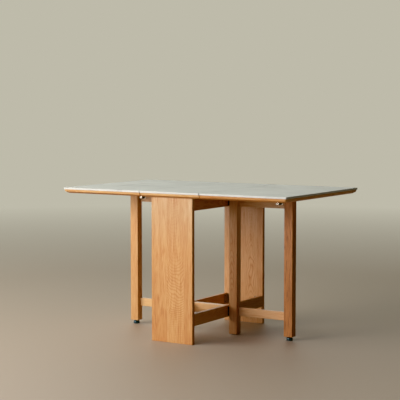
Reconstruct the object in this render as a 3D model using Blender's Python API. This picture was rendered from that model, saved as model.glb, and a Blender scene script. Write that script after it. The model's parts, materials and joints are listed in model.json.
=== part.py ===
"""Gateleg dining table with two drop leaves, built from separate pieces.

Metres, +Z up. The origin is on the floor under the middle of the table, +X runs along the open
length, and -Y is the side that both gates fold towards. A piece that comes in pairs is drawn where it
stands on the right (side = 1), and the left one (side = -1) is the same shape mirrored in X. The table
is drawn with its leaves up and its gates open.
"""

import math

import bmesh
import bpy
from mathutils import Matrix, Vector

# Fits
TOUCH = 0.0003             # gap between two pieces that touch
EASE = 0.002               # rounding of the wooden edges
EASE_STEPS = 2

# Table top, open
TOP_LENGTH = 1.300
TOP_WIDTH = 0.780
TOP_HEIGHT = 0.750
CENTRE_LENGTH = 0.345      # middle panel, from seam to seam
SEAM_GAP = 0.002
STONE_THICKNESS = 0.0095
STONE_ARRIS = 0.001
STONE_CORNER = 0.005
BOARD_THICKNESS = 0.0185
BOARD_SETBACK = 0.0025     # upper edge of the board behind the edge of the stone
BOARD_CORNER = 0.008
EDGE_LEAN = 0.0023         # how far the outer edges of the boards lean in above their chamfer
CHAMFER_HEIGHT = 0.008
CHAMFER_DEPTH = 0.0132
CHAMFER_CORNER = 0.005
CORNER_STEPS = 5

# Fixed frame
SLAB_WIDTH = 0.240
SLAB_THICKNESS = 0.021
SLAB_SETBACK = 0.026       # face of the slab behind the edge of the top
SIDE_RAIL_THICKNESS = 0.020
APRON_HEIGHT = 0.0618
STRETCHER_HEIGHT = 0.060
STRETCHER_BOTTOM = 0.091
CROSS_RAIL_THICKNESS = 0.036
CROSS_RAIL_HEIGHT = 0.050
CROSS_RAIL_DROP = 0.004    # top of the lower cross rail below the tops of the stretchers

# Steel angle brackets between stretchers and slabs
BRACKET_SHEET = 0.0025
BRACKET_RAIL_ARM = 0.036   # along the stretcher
BRACKET_SLAB_ARM = 0.030   # along the slab
BRACKET_HEIGHT = 0.050
BRACKET_BEND = 0.003       # inside radius of the bend
BRACKET_STEPS = 4

# Tenons
TENON_THICKNESS = 0.010
TENON_SHOULDER = 0.008     # above and below a tenon
SLAB_TENON = 0.010         # depth into a slab
CROSS_TENON = 0.008        # depth into an apron or a stretcher
GATE_TENON = 0.025         # depth into a gate's post or leg

# Hinges, all rolled from the same sheet
HINGE_SHEET = 0.0009
HINGE_PIN_RADIUS = 0.0010
HINGE_PLATE_WIDTH = 0.032
HINGE_ROLL_SWEEP = math.radians(290)
HINGE_ROLL_STEPS = 14
KNUCKLE_GAP = 0.0004
PIN_HEAD_RADIUS = 0.0018
PIN_HEAD_HEIGHT = 0.0010
GATE_HINGE_LENGTH = 0.046
LEAF_HINGE_LENGTH = 0.060
LEAF_HINGE_OFFSET = 0.220  # from the middle of the seam

# Gates
GATE_THICKNESS = 0.041
GATE_DROP = 0.0065         # top of the gate below the underside of the leaf
POST_WIDTH = 0.046
LEG_WIDTH = 0.047
LEG_INSET = 0.161          # outer face of the leg from the end of the top
GATE_RAIL_THICKNESS = 0.020
UPPER_RAIL_HEIGHT = 0.0557
LOWER_RAIL_HEIGHT = 0.0428
LOWER_RAIL_BOTTOM = 0.097
SUPPORT_PAD_LENGTH = 0.032
SUPPORT_PAD_WIDTH = 0.026
SUPPORT_PAD_CORNER = 0.005

# Glide under the post
GLIDE_RADIUS = 0.015
GLIDE_HEIGHT = 0.003
GLIDE_EDGE = 0.001
NAIL_RADIUS = 0.0015
NAIL_LENGTH = 0.012

# Levelling foot under the leg
FOOT_HEIGHT = 0.020        # floor to the underside of the leg
FOOT_RADIUS = 0.017
FOOT_TOP_RADIUS = 0.0115
FOOT_PAD_HEIGHT = 0.0165
FOOT_EDGE = 0.002
FOOT_DOME = 0.009          # height of the dome, from the pad's rim up to its top
FOOT_DOME_STEPS = 5
COLLAR_RADIUS = 0.0085
STEM_RADIUS = 0.004
STEM_LENGTH = 0.022        # above the underside of the leg
INSERT_RADIUS = 0.0065
INSERT_LENGTH = 0.016
FLANGE_RADIUS = 0.011
FLANGE_THICKNESS = 0.0015
INSERT_HOLE_DEPTH = 0.026
ROUND_STEPS = 24
SMALL_ROUND_STEPS = 12

# Magnetic catch on the gate's upper rail, beside the leg
CATCH_LENGTH = 0.042
CATCH_HEIGHT = 0.014
CATCH_BLOCK = 0.018        # length of the deep middle part
CATCH_EAR_DEPTH = 0.004
CATCH_LEG_GAP = {"right": 0.016, "left": 0.002}
CATCH_DROP = 0.031         # middle of the catch below the top of the gate
CATCH_SPACE = 0.0020       # between the folded catch and the apron
CATCH_EASE = 0.001

# Levels, from the top down
STONE_BOTTOM = TOP_HEIGHT - STONE_THICKNESS
BOARD_TOP = STONE_BOTTOM - TOUCH
UNDERSIDE = BOARD_TOP - BOARD_THICKNESS
FRAME_TOP = UNDERSIDE - TOUCH
APRON_BOTTOM = FRAME_TOP - APRON_HEIGHT
STRETCHER_TOP = STRETCHER_BOTTOM + STRETCHER_HEIGHT
LOWER_CROSS_TOP = STRETCHER_TOP - CROSS_RAIL_DROP
GATE_TOP = UNDERSIDE - GATE_DROP
CATCH_LEVEL = GATE_TOP - CATCH_DROP
POST_BOTTOM = GLIDE_HEIGHT + TOUCH

# Places across the table
SLAB_INNER = TOP_WIDTH / 2 - SLAB_SETBACK - SLAB_THICKNESS
SLAB_OUTER = TOP_WIDTH / 2 - SLAB_SETBACK

# Places along the table, on its right-hand side
SEAM = CENTRE_LENGTH / 2 + SEAM_GAP / 2
RAIL_OUTER = SLAB_WIDTH / 2
RAIL_INNER = RAIL_OUTER - SIDE_RAIL_THICKNESS
BORE_RADIUS = HINGE_PIN_RADIUS + TOUCH
BARREL_RADIUS = BORE_RADIUS + HINGE_SHEET
HINGE_SPACE = 2 * (BARREL_RADIUS + TOUCH)
POST_INNER = RAIL_OUTER + HINGE_SPACE
POST_OUTER = POST_INNER + POST_WIDTH
LEG_OUTER = TOP_LENGTH / 2 - LEG_INSET
LEG_INNER = LEG_OUTER - LEG_WIDTH
LEG_MIDDLE = LEG_OUTER - LEG_WIDTH / 2

# Axes that the gates and the leaves turn on
GATE_PIN = Vector((RAIL_OUTER + HINGE_SPACE / 2, -GATE_THICKNESS / 2 - HINGE_SPACE / 2, 0.0))
LEAF_PIN = Vector((SEAM, 0.0, UNDERSIDE - HINGE_SPACE / 2))
FOOT_AXIS = Vector((LEG_MIDDLE, 0.0, 0.0))
UPPER_HINGE_LEVEL = (APRON_BOTTOM + GATE_TOP) / 2
LOWER_HINGE_LEVEL = (STRETCHER_BOTTOM + STRETCHER_TOP) / 2

SIDES = {"right": 1, "left": -1}
ENDS = {"front": -1, "rear": 1}
X_AXIS = Vector((1, 0, 0))
Y_AXIS = Vector((0, 1, 0))
Z_AXIS = Vector((0, 0, 1))


def clear_scene():
    """Remove every object of the scene."""
    for item in list(bpy.data.objects):
        bpy.data.objects.remove(item)


def finish(name, colour, roughness, metallic=0.0):
    """Return a plain material of one colour."""
    material = bpy.data.materials.new(name)
    material.use_nodes = True
    shader = material.node_tree.nodes["Principled BSDF"]
    shader.inputs["Base Color"].default_value = (*colour, 1.0)
    shader.inputs["Roughness"].default_value = roughness
    shader.inputs["Metallic"].default_value = metallic
    return material


def joint_axis(name, place, side):
    """Add the empty that stands on a joint's axis."""
    empty = bpy.data.objects.new(name, None)
    empty.empty_display_size = 0.05
    empty.location = (side * place.x, place.y, place.z)
    bpy.context.scene.collection.objects.link(empty)
    return empty


def middle_of(bm):
    """Return the middle of the box around a bmesh."""
    low = Vector(min(v.co[i] for v in bm.verts) for i in range(3))
    high = Vector(max(v.co[i] for v in bm.verts) for i in range(3))
    return (low + high) / 2


def make(name, bm, material, side=1, axis=None):
    """Make a bmesh drawn in table coordinates into a piece, with its origin on its axis or middle."""
    if side < 0:
        bmesh.ops.scale(bm, vec=(-1, 1, 1), verts=bm.verts)
        bmesh.ops.reverse_faces(bm, faces=bm.faces)
    origin = axis.location.copy() if axis else middle_of(bm)
    bmesh.ops.translate(bm, vec=-origin, verts=bm.verts)
    mesh = bpy.data.meshes.new(name)
    bm.to_mesh(mesh)
    bm.free()
    mesh.shade_smooth()
    mesh.set_sharp_from_angle(angle=math.radians(30))
    mesh.materials.append(material)
    piece = bpy.data.objects.new(name, mesh)
    bpy.context.scene.collection.objects.link(piece)
    piece.parent = axis
    piece.location = (0, 0, 0) if axis else origin
    return piece


def cut(piece, bm, material, side=1, axis=None):
    """Cut the shapes in a bmesh, drawn in table coordinates, out of a piece."""
    cutter = make(piece.name + "_cutter", bm, material, side, axis)
    cutter.hide_render = True
    cutter.display_type = "WIRE"
    modifier = piece.modifiers.new("cut", "BOOLEAN")
    modifier.operation = "DIFFERENCE"
    modifier.solver = "EXACT"
    modifier.object = cutter


def add_box(bm, low, high):
    """Add a box between two opposite corners."""
    low = Vector(low)
    high = Vector(high)
    place = Matrix.Translation((low + high) / 2) @ Matrix.Diagonal((*(high - low), 1.0))
    bmesh.ops.create_cube(bm, size=1.0, matrix=place)


def add_rod(bm, place, radius, z_low, z_high, steps):
    """Add an upright cylinder, for a hole."""
    middle = Matrix.Translation((place.x, place.y, (z_low + z_high) / 2))
    bmesh.ops.create_cone(bm, cap_ends=True, segments=steps, radius1=radius, radius2=radius,
                          depth=z_high - z_low, matrix=middle)


def ease_edges(bm, edges, width):
    """Round edges off."""
    bmesh.ops.bevel(bm, geom=edges, offset=width, segments=EASE_STEPS, profile=0.5,
                    affect="EDGES", clamp_overlap=True, material=-1)


def eased_box(low, high, width=EASE):
    """Return a box with rounded edges."""
    bm = bmesh.new()
    add_box(bm, low, high)
    ease_edges(bm, bm.edges[:], width)
    return bm


def loft(rings):
    """Return a closed skin over rings of points that match one to one, with a face on each end."""
    bm = bmesh.new()
    loops = [[bm.verts.new(point) for point in ring] for ring in rings]
    for lower, upper in zip(loops, loops[1:]):
        for i in range(len(lower)):
            j = (i + 1) % len(lower)
            bm.faces.new((lower[i], lower[j], upper[j], upper[i]))
    bm.faces.new(loops[0][::-1])
    bm.faces.new(loops[-1])
    bmesh.ops.recalc_face_normals(bm, faces=bm.faces)
    return bm


def turned(profile, steps, place, closed=False):
    """Return a profile of (radius, height) points turned about an upright axis through a place."""
    bm = bmesh.new()
    points = [bm.verts.new((radius, 0, height)) for radius, height in profile]
    edges = [bm.edges.new(pair) for pair in zip(points, points[1:])]
    if closed:
        edges.append(bm.edges.new((points[-1], points[0])))
    bmesh.ops.spin(bm, geom=points + edges, axis=Z_AXIS, cent=(0, 0, 0), angle=math.tau,
                   steps=steps, use_merge=True)
    bmesh.ops.remove_doubles(bm, verts=bm.verts, dist=1e-6)
    bmesh.ops.recalc_face_normals(bm, faces=bm.faces)
    bmesh.ops.translate(bm, vec=place, verts=bm.verts)
    return bm


def arc(centre_x, centre_y, radius, start, stop, steps):
    """Return the points of an arc, in radians from start to stop."""
    angles = [start + (stop - start) * i / steps for i in range(steps + 1)]
    return [(centre_x + radius * math.cos(a), centre_y + radius * math.sin(a)) for a in angles]


def rounded_rectangle(low, high, radius):
    """Return the outline of a rectangle with four round corners."""
    quarter = math.pi / 2
    corners = [(low[0] + radius, low[1] + radius), (high[0] - radius, low[1] + radius),
               (high[0] - radius, high[1] - radius), (low[0] + radius, high[1] - radius)]
    points = []
    for i, (x, y) in enumerate(corners):
        points += arc(x, y, radius, (i + 2) * quarter, (i + 3) * quarter, CORNER_STEPS)
    return points


class Rail:
    """A straight rail with a stub tenon on each end.

    run is the clear span between the two faces that it meets, along "x" or "y". across and height
    are the spans of its section. Each span is a (low, high) pair.
    """

    def __init__(self, axis, run, across, height, tenon_depth):
        self.axis = axis
        self.run = run
        self.across = across
        self.height = height
        self.tenon_depth = tenon_depth
        middle = (across[0] + across[1]) / 2
        self.tenon_across = (middle - TENON_THICKNESS / 2, middle + TENON_THICKNESS / 2)
        self.tenon_height = (height[0] + TENON_SHOULDER, height[1] - TENON_SHOULDER)

    def point(self, along, across, up):
        """Return a point in table coordinates."""
        if self.axis == "x":
            return (along, across, up)
        return (across, along, up)

    def ring(self, along, across, height):
        """Return the four corners of a section."""
        corners = [(0, 0), (1, 0), (1, 1), (0, 1)]
        return [self.point(along, across[a], height[h]) for a, h in corners]

    def solid(self):
        """Return the rail with its tenons, its long edges rounded off."""
        start = self.run[0] + TOUCH
        stop = self.run[1] - TOUCH
        bm = loft([
            self.ring(start - self.tenon_depth, self.tenon_across, self.tenon_height),
            self.ring(start, self.tenon_across, self.tenon_height),
            self.ring(start, self.across, self.height),
            self.ring(stop, self.across, self.height),
            self.ring(stop, self.tenon_across, self.tenon_height),
            self.ring(stop + self.tenon_depth, self.tenon_across, self.tenon_height),
        ])
        body = stop - start
        long_edges = [e for e in bm.edges if abs(e.calc_length() - body) < TOUCH]
        ease_edges(bm, long_edges, EASE)
        return bm

    def mortise(self, end):
        """Return the two corners of the hole for the tenon at the low end (0) or the high end (1)."""
        spans = [(self.run[0] - self.tenon_depth, self.run[0] + 2 * TOUCH),
                 (self.run[1] - 2 * TOUCH, self.run[1] + self.tenon_depth)]
        low, high = spans[end]
        return (self.point(low, self.tenon_across[0] - TOUCH, self.tenon_height[0] - TOUCH),
                self.point(high, self.tenon_across[1] + TOUCH, self.tenon_height[1] + TOUCH))


def mirrored(corners):
    """Return the two corners of a box mirrored in X."""
    low, high = corners
    return (-high[0], low[1], low[2]), (-low[0], high[1], high[2])


APRON = Rail("y", (-SLAB_INNER, SLAB_INNER), (RAIL_INNER, RAIL_OUTER), (APRON_BOTTOM, FRAME_TOP),
             SLAB_TENON)
STRETCHER = Rail("y", (-SLAB_INNER, SLAB_INNER), (RAIL_INNER, RAIL_OUTER),
                 (STRETCHER_BOTTOM, STRETCHER_TOP), SLAB_TENON)
CROSS_RAIL_SPAN = (-CROSS_RAIL_THICKNESS / 2, CROSS_RAIL_THICKNESS / 2)
UPPER_CROSS_RAIL = Rail("x", (-RAIL_INNER, RAIL_INNER), CROSS_RAIL_SPAN,
                        (FRAME_TOP - CROSS_RAIL_HEIGHT, FRAME_TOP), CROSS_TENON)
LOWER_CROSS_RAIL = Rail("x", (-RAIL_INNER, RAIL_INNER), CROSS_RAIL_SPAN,
                        (LOWER_CROSS_TOP - CROSS_RAIL_HEIGHT, LOWER_CROSS_TOP), CROSS_TENON)
GATE_RAIL_SPAN = (GATE_THICKNESS / 2 - GATE_RAIL_THICKNESS, GATE_THICKNESS / 2)
UPPER_GATE_RAIL = Rail("x", (POST_OUTER, LEG_INNER), GATE_RAIL_SPAN,
                       (GATE_TOP - UPPER_RAIL_HEIGHT, GATE_TOP), GATE_TENON)
LOWER_GATE_RAIL = Rail("x", (POST_OUTER, LEG_INNER), GATE_RAIL_SPAN,
                       (LOWER_RAIL_BOTTOM, LOWER_RAIL_BOTTOM + LOWER_RAIL_HEIGHT), GATE_TENON)


def panel_ring(x_low, x_high, level, edge_inset, seam_inset, corner, outer_end):
    """Return the outline of a panel of the top at one level.

    The front and rear edges, and the high X end where outer_end is true, are set in by edge_inset;
    a seam is set in by seam_inset. Only the corners of an outer end are round.
    """
    half = TOP_WIDTH / 2 - edge_inset
    start = x_low + seam_inset
    quarter = math.pi / 2
    if outer_end:
        stop = x_high - edge_inset
        front = arc(stop - corner, -half + corner, corner, -quarter, 0, CORNER_STEPS)
        rear = arc(stop - corner, half - corner, corner, 0, quarter, CORNER_STEPS)
    else:
        stop = x_high - seam_inset
        front = [(stop, -half)]
        rear = [(stop, half)]
    outline = [(start, -half)] + front + rear + [(start, half)]
    return [(x, y, level) for x, y in outline]


def stone_panel(x_low, x_high, outer_end):
    """Return a stone slab with a fine arris round its upper and lower face."""
    rows = [(STONE_BOTTOM, STONE_ARRIS, STONE_ARRIS), (STONE_BOTTOM + STONE_ARRIS, 0, 0),
            (TOP_HEIGHT - STONE_ARRIS, 0, 0), (TOP_HEIGHT, STONE_ARRIS, STONE_ARRIS)]
    return loft([panel_ring(x_low, x_high, level, edge, seam, STONE_CORNER - edge, outer_end)
                 for level, edge, seam in rows])


def board_panel(x_low, x_high, outer_end):
    """Return a board whose outer edges lean in and end in a wide chamfer under them."""
    ridge = BOARD_SETBACK + EDGE_LEAN
    rows = [(UNDERSIDE, ridge + CHAMFER_DEPTH, CHAMFER_CORNER),
            (UNDERSIDE + CHAMFER_HEIGHT, ridge, BOARD_CORNER),
            (BOARD_TOP, BOARD_SETBACK, BOARD_CORNER)]
    return loft([panel_ring(x_low, x_high, level, edge, 0, corner, outer_end)
                 for level, edge, corner in rows])


def build_top(oak, stone, leaf_axes):
    """Build the middle panel and the two leaves."""
    middle = CENTRE_LENGTH / 2
    make("centre_stone", stone_panel(-middle, middle, False), stone)
    make("centre_board", board_panel(-middle, middle, False), oak)
    for word, side in SIDES.items():
        axis = leaf_axes[word]
        leaf = (middle + SEAM_GAP, TOP_LENGTH / 2, True)
        make(f"{word}_leaf_stone", stone_panel(*leaf), stone, side, axis)
        make(f"{word}_leaf_board", board_panel(*leaf), oak, side, axis)


def build_slabs(oak):
    """Build the two slab legs, mortised for the aprons and the stretchers."""
    for end, (word, way) in enumerate(ENDS.items()):
        faces = sorted((way * SLAB_INNER, way * SLAB_OUTER))
        low = (-SLAB_WIDTH / 2, faces[0], 0.0)
        high = (SLAB_WIDTH / 2, faces[1], FRAME_TOP)
        slab = make(f"{word}_slab", eased_box(low, high), oak)
        holes = bmesh.new()
        for rail in (APRON, STRETCHER):
            add_box(holes, *rail.mortise(end))
            add_box(holes, *mirrored(rail.mortise(end)))
        cut(slab, holes, oak)


def build_frame_rails(oak):
    """Build the aprons, stretchers and cross rails between the slabs."""
    for word, side in SIDES.items():
        for name, rail, cross in (("apron", APRON, UPPER_CROSS_RAIL),
                                  ("stretcher", STRETCHER, LOWER_CROSS_RAIL)):
            piece = make(f"{word}_{name}", rail.solid(), oak, side)
            hole = bmesh.new()
            add_box(hole, *cross.mortise(1))
            cut(piece, hole, oak, side)
    make("upper_cross_rail", UPPER_CROSS_RAIL.solid(), oak)
    make("lower_cross_rail", LOWER_CROSS_RAIL.solid(), oak)


def bracket_outline():
    """Return a bracket's section as distances from its corner, along the slab and along the stretcher."""
    bend = BRACKET_BEND + BRACKET_SHEET
    half_turn = math.pi
    outside = arc(bend, bend, bend, half_turn, 1.5 * half_turn, BRACKET_STEPS)
    inside = arc(bend, bend, BRACKET_BEND, 1.5 * half_turn, half_turn, BRACKET_STEPS)
    return ([(0, BRACKET_RAIL_ARM)] + outside + [(BRACKET_SLAB_ARM, 0), (BRACKET_SLAB_ARM, BRACKET_SHEET)]
            + inside + [(BRACKET_SHEET, BRACKET_RAIL_ARM)])


def build_brackets(steel):
    """Build the angle bracket in each corner between a stretcher and a slab."""
    corner_x = RAIL_INNER - TOUCH
    corner_y = SLAB_INNER - TOUCH
    middle = (STRETCHER_BOTTOM + STRETCHER_TOP) / 2
    levels = (middle - BRACKET_HEIGHT / 2, middle + BRACKET_HEIGHT / 2)
    for end, way in ENDS.items():
        for word, side in SIDES.items():
            rings = [[(corner_x - u, way * (corner_y - v), level) for u, v in bracket_outline()]
                     for level in levels]
            make(f"{end}_{word}_bracket", loft(rings), steel, side)


def rolled_outline():
    """Return a hinge leaf's section: the pin is at the origin and the plate runs along its first axis."""
    start = math.pi / 2
    stop = start + HINGE_ROLL_SWEEP
    outside = arc(0, 0, BARREL_RADIUS, start, stop, HINGE_ROLL_STEPS)
    inside = arc(0, 0, BORE_RADIUS, stop, start, HINGE_ROLL_STEPS)
    return ([(HINGE_PLATE_WIDTH, BARREL_RADIUS)] + outside + inside
            + [(HINGE_PLATE_WIDTH, BORE_RADIUS)])


def knuckle_spans(length, middle):
    """Return the stretches of a hinge's length where one leaf has no knuckle."""
    near = length / 6
    half_gap = KNUCKLE_GAP / 2
    if middle:
        past = length / 2 + KNUCKLE_GAP
        return [(-past, half_gap - near), (near - half_gap, past)]
    return [(-near - half_gap, near + half_gap)]


def hinge_leaf(name, length, centre, plate_way, face_way, middle, material, side, axis):
    """Build one rolled leaf of a hinge.

    The pin runs through centre, square to plate_way, in which the plate runs, and to face_way, which
    points to the wood that the plate is screwed to. middle is true for the leaf with one knuckle.
    """
    pin_way = Z_AXIS if plate_way.z == 0 and face_way.z == 0 else Y_AXIS
    place = Matrix((plate_way, face_way, pin_way)).transposed().to_4x4()
    place.translation = centre
    ends = (-length / 2, length / 2)
    bm = loft([[place @ Vector((*point, end)) for point in rolled_outline()] for end in ends])
    piece = make(name, bm, material, side, axis)
    gaps = bmesh.new()
    for start, stop in knuckle_spans(length, middle):
        add_box(gaps, (-2 * BARREL_RADIUS, -2 * BARREL_RADIUS, start),
                (BARREL_RADIUS + TOUCH, 2 * BARREL_RADIUS, stop))
    bmesh.ops.transform(gaps, matrix=place, verts=gaps.verts)
    bmesh.ops.recalc_face_normals(gaps, faces=gaps.faces)
    cut(piece, gaps, material, side, axis)


def hinge_pin(name, length, centre, lying, material, side):
    """Build a hinge's pin, with a button on each end. A lying pin runs along Y."""
    half = length / 2 + TOUCH
    top = half + PIN_HEAD_HEIGHT
    profile = [(0, -top), (PIN_HEAD_RADIUS, -top), (PIN_HEAD_RADIUS, -half), (HINGE_PIN_RADIUS, -half),
               (HINGE_PIN_RADIUS, half), (PIN_HEAD_RADIUS, half), (PIN_HEAD_RADIUS, top), (0, top)]
    bm = turned(profile, SMALL_ROUND_STEPS, Vector((0, 0, 0)))
    if lying:
        bmesh.ops.rotate(bm, matrix=Matrix.Rotation(math.pi / 2, 3, "X"), verts=bm.verts)
    bmesh.ops.translate(bm, vec=centre, verts=bm.verts)
    make(name, bm, material, side)


def build_leaf_hinges(steel, leaf_axes):
    """Build two hinges under each seam, lying open."""
    for word, side in SIDES.items():
        for end, way in ENDS.items():
            name = f"{word}_leaf_hinge_{end}"
            centre = LEAF_PIN + Vector((0, way * LEAF_HINGE_OFFSET, 0))
            hinge_leaf(f"{name}_fixed_plate", LEAF_HINGE_LENGTH, centre, -X_AXIS, Z_AXIS, False,
                       steel, side, None)
            hinge_leaf(f"{name}_leaf_plate", LEAF_HINGE_LENGTH, centre, X_AXIS, Z_AXIS, True,
                       steel, side, leaf_axes[word])
            hinge_pin(f"{name}_pin", LEAF_HINGE_LENGTH, centre, True, steel, side)


def build_gate_hinges(steel, gate_axes):
    """Build two hinges on each gate's post, lying closed while the gate is open."""
    for word, side in SIDES.items():
        for level, height in (("upper", UPPER_HINGE_LEVEL), ("lower", LOWER_HINGE_LEVEL)):
            name = f"{word}_gate_hinge_{level}"
            centre = GATE_PIN + Vector((0, 0, height))
            hinge_leaf(f"{name}_frame_plate", GATE_HINGE_LENGTH, centre, Y_AXIS, -X_AXIS, False,
                       steel, side, None)
            hinge_leaf(f"{name}_post_plate", GATE_HINGE_LENGTH, centre, Y_AXIS, X_AXIS, True,
                       steel, side, gate_axes[word])
            hinge_pin(f"{name}_pin", GATE_HINGE_LENGTH, centre, False, steel, side)


def build_gate_posts(oak, gate_axes):
    """Build each gate's post, mortised for its rails and bored for its glide's nail."""
    for word, side in SIDES.items():
        low = (POST_INNER, -GATE_THICKNESS / 2, POST_BOTTOM)
        high = (POST_OUTER, GATE_THICKNESS / 2, GATE_TOP)
        post = make(f"{word}_gate_post", eased_box(low, high), oak, side, gate_axes[word])
        holes = bmesh.new()
        for rail in (UPPER_GATE_RAIL, LOWER_GATE_RAIL):
            add_box(holes, *rail.mortise(0))
        add_rod(holes, glide_place(), NAIL_RADIUS + TOUCH, 0.0, POST_BOTTOM + NAIL_LENGTH + TOUCH,
                SMALL_ROUND_STEPS)
        cut(post, holes, oak, side, gate_axes[word])


def build_gate_legs(oak, gate_axes):
    """Build each gate's leg, mortised for its rails and bored for the insert of its foot."""
    for word, side in SIDES.items():
        low = (LEG_INNER, -GATE_THICKNESS / 2, FOOT_HEIGHT)
        high = (LEG_OUTER, GATE_THICKNESS / 2, GATE_TOP)
        leg = make(f"{word}_gate_leg", eased_box(low, high), oak, side, gate_axes[word])
        holes = bmesh.new()
        for rail in (UPPER_GATE_RAIL, LOWER_GATE_RAIL):
            add_box(holes, *rail.mortise(1))
        add_rod(holes, FOOT_AXIS, INSERT_RADIUS + TOUCH, 0.0, FOOT_HEIGHT + INSERT_HOLE_DEPTH,
                ROUND_STEPS)
        cut(leg, holes, oak, side, gate_axes[word])


def build_gate_rails(oak, gate_axes):
    """Build the upper and the lower rail of each gate."""
    for word, side in SIDES.items():
        make(f"{word}_gate_upper_rail", UPPER_GATE_RAIL.solid(), oak, side, gate_axes[word])
        make(f"{word}_gate_lower_rail", LOWER_GATE_RAIL.solid(), oak, side, gate_axes[word])


def glide_place():
    """Return the middle of the post, on the floor."""
    return Vector(((POST_INNER + POST_OUTER) / 2, 0.0, 0.0))


def build_glides(nylon, gate_axes):
    """Build the nailed glide under each gate's post."""
    nail_top = POST_BOTTOM + NAIL_LENGTH
    profile = [(0, 0), (GLIDE_RADIUS - GLIDE_EDGE, 0), (GLIDE_RADIUS, GLIDE_EDGE),
               (GLIDE_RADIUS, GLIDE_HEIGHT), (NAIL_RADIUS, GLIDE_HEIGHT), (NAIL_RADIUS, nail_top),
               (0, nail_top)]
    for word, side in SIDES.items():
        make(f"{word}_post_glide", turned(profile, ROUND_STEPS, glide_place()), nylon, side,
             gate_axes[word])


def build_feet(plastic, steel, gate_axes, foot_axes):
    """Build the levelling foot of each gate's leg and the threaded insert that holds its stem."""
    flange_low = FOOT_HEIGHT - TOUCH - FLANGE_THICKNESS
    collar_top = flange_low - TOUCH
    stem_top = FOOT_HEIGHT + STEM_LENGTH
    rim = FOOT_PAD_HEIGHT - FOOT_DOME
    dome = [(FOOT_TOP_RADIUS + (FOOT_RADIUS - FOOT_TOP_RADIUS) * across, rim + FOOT_DOME * up)
            for across, up in arc(0, 0, 1, 0, math.pi / 2, FOOT_DOME_STEPS)]
    foot = [(0, 0), (FOOT_RADIUS - FOOT_EDGE, 0), (FOOT_RADIUS, FOOT_EDGE)] + dome
    foot += [(COLLAR_RADIUS, FOOT_PAD_HEIGHT), (COLLAR_RADIUS, collar_top), (STEM_RADIUS, collar_top),
             (STEM_RADIUS, stem_top), (0, stem_top)]
    bore = STEM_RADIUS + TOUCH
    insert = [(bore, flange_low), (FLANGE_RADIUS, flange_low),
              (FLANGE_RADIUS, flange_low + FLANGE_THICKNESS),
              (INSERT_RADIUS, flange_low + FLANGE_THICKNESS),
              (INSERT_RADIUS, FOOT_HEIGHT + INSERT_LENGTH), (bore, FOOT_HEIGHT + INSERT_LENGTH)]
    for word, side in SIDES.items():
        make(f"{word}_foot", turned(foot, ROUND_STEPS, FOOT_AXIS), plastic, side, foot_axes[word])
        make(f"{word}_foot_insert", turned(insert, ROUND_STEPS, FOOT_AXIS, closed=True), steel, side,
             gate_axes[word])


def build_support_pads(nylon, gate_axes):
    """Build the pad on top of each gate's leg, which carries the leaf."""
    low = (LEG_MIDDLE - SUPPORT_PAD_LENGTH / 2, -SUPPORT_PAD_WIDTH / 2)
    high = (LEG_MIDDLE + SUPPORT_PAD_LENGTH / 2, SUPPORT_PAD_WIDTH / 2)
    outline = rounded_rectangle(low, high, SUPPORT_PAD_CORNER)
    levels = (GATE_TOP + TOUCH, UNDERSIDE - TOUCH)
    for word, side in SIDES.items():
        bm = loft([[(x, y, level) for x, y in outline] for level in levels])
        make(f"{word}_support_pad", bm, nylon, side, gate_axes[word])


def build_catches(plastic, gate_axes):
    """Build the magnetic catch on each gate, which meets the apron when the gate is folded."""
    back = GATE_RAIL_SPAN[0] - TOUCH
    front = GATE_PIN.y + RAIL_OUTER + CATCH_SPACE - GATE_PIN.x
    ear = back - CATCH_EAR_DEPTH
    levels = (CATCH_LEVEL - CATCH_HEIGHT / 2, CATCH_LEVEL + CATCH_HEIGHT / 2)
    for word, side in SIDES.items():
        stop = LEG_INNER - CATCH_LEG_GAP[word]
        start = stop - CATCH_LENGTH
        near = (start + stop - CATCH_BLOCK) / 2
        far = (start + stop + CATCH_BLOCK) / 2
        outline = [(start, back), (start, ear), (near, ear), (near, front), (far, front), (far, ear),
                   (stop, ear), (stop, back)]
        catch = loft([[(x, y, level) for x, y in outline] for level in levels])
        outer = [e for e in catch.edges if e.calc_length() > CATCH_EASE and e.is_convex]
        ease_edges(catch, outer, CATCH_EASE)
        make(f"{word}_gate_catch", catch, plastic, side, gate_axes[word])


def main():
    """Build the table."""
    clear_scene()
    oak = finish("oak", (0.62, 0.335, 0.128), 0.45)
    stone = finish("pale_stone", (0.61, 0.61, 0.55), 0.35)
    black_steel = finish("black_steel", (0.020, 0.020, 0.022), 0.40, 1.0)
    bright_steel = finish("bright_steel", (0.60, 0.60, 0.58), 0.30, 1.0)
    black_plastic = finish("black_plastic", (0.012, 0.013, 0.017), 0.22)
    nylon = finish("dark_nylon", (0.035, 0.032, 0.030), 0.60)
    gate_axes = {}
    leaf_axes = {}
    foot_axes = {}
    for word, side in SIDES.items():
        gate_axes[word] = joint_axis(f"{word}_gate_axis", GATE_PIN, side)
        leaf_axes[word] = joint_axis(f"{word}_leaf_axis", LEAF_PIN, side)
        foot_axes[word] = joint_axis(f"{word}_foot_axis", FOOT_AXIS, side)
    build_top(oak, stone, leaf_axes)
    build_slabs(oak)
    build_frame_rails(oak)
    build_brackets(bright_steel)
    build_leaf_hinges(black_steel, leaf_axes)
    build_gate_hinges(black_steel, gate_axes)
    build_gate_posts(oak, gate_axes)
    build_gate_legs(oak, gate_axes)
    build_gate_rails(oak, gate_axes)
    build_glides(nylon, gate_axes)
    build_feet(black_plastic, bright_steel, gate_axes, foot_axes)
    build_support_pads(nylon, gate_axes)
    build_catches(black_plastic, gate_axes)
    bpy.context.view_layer.update()


main()
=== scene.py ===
"""Looks of a gateleg dining table in honey oak and pale stone.

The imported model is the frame: places come from the boxes of its nodes, and every other size is a named
field of the class that owns it. Metres, +Z up, +X along the open length, -Y towards the front.
"""

from __future__ import annotations

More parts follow.
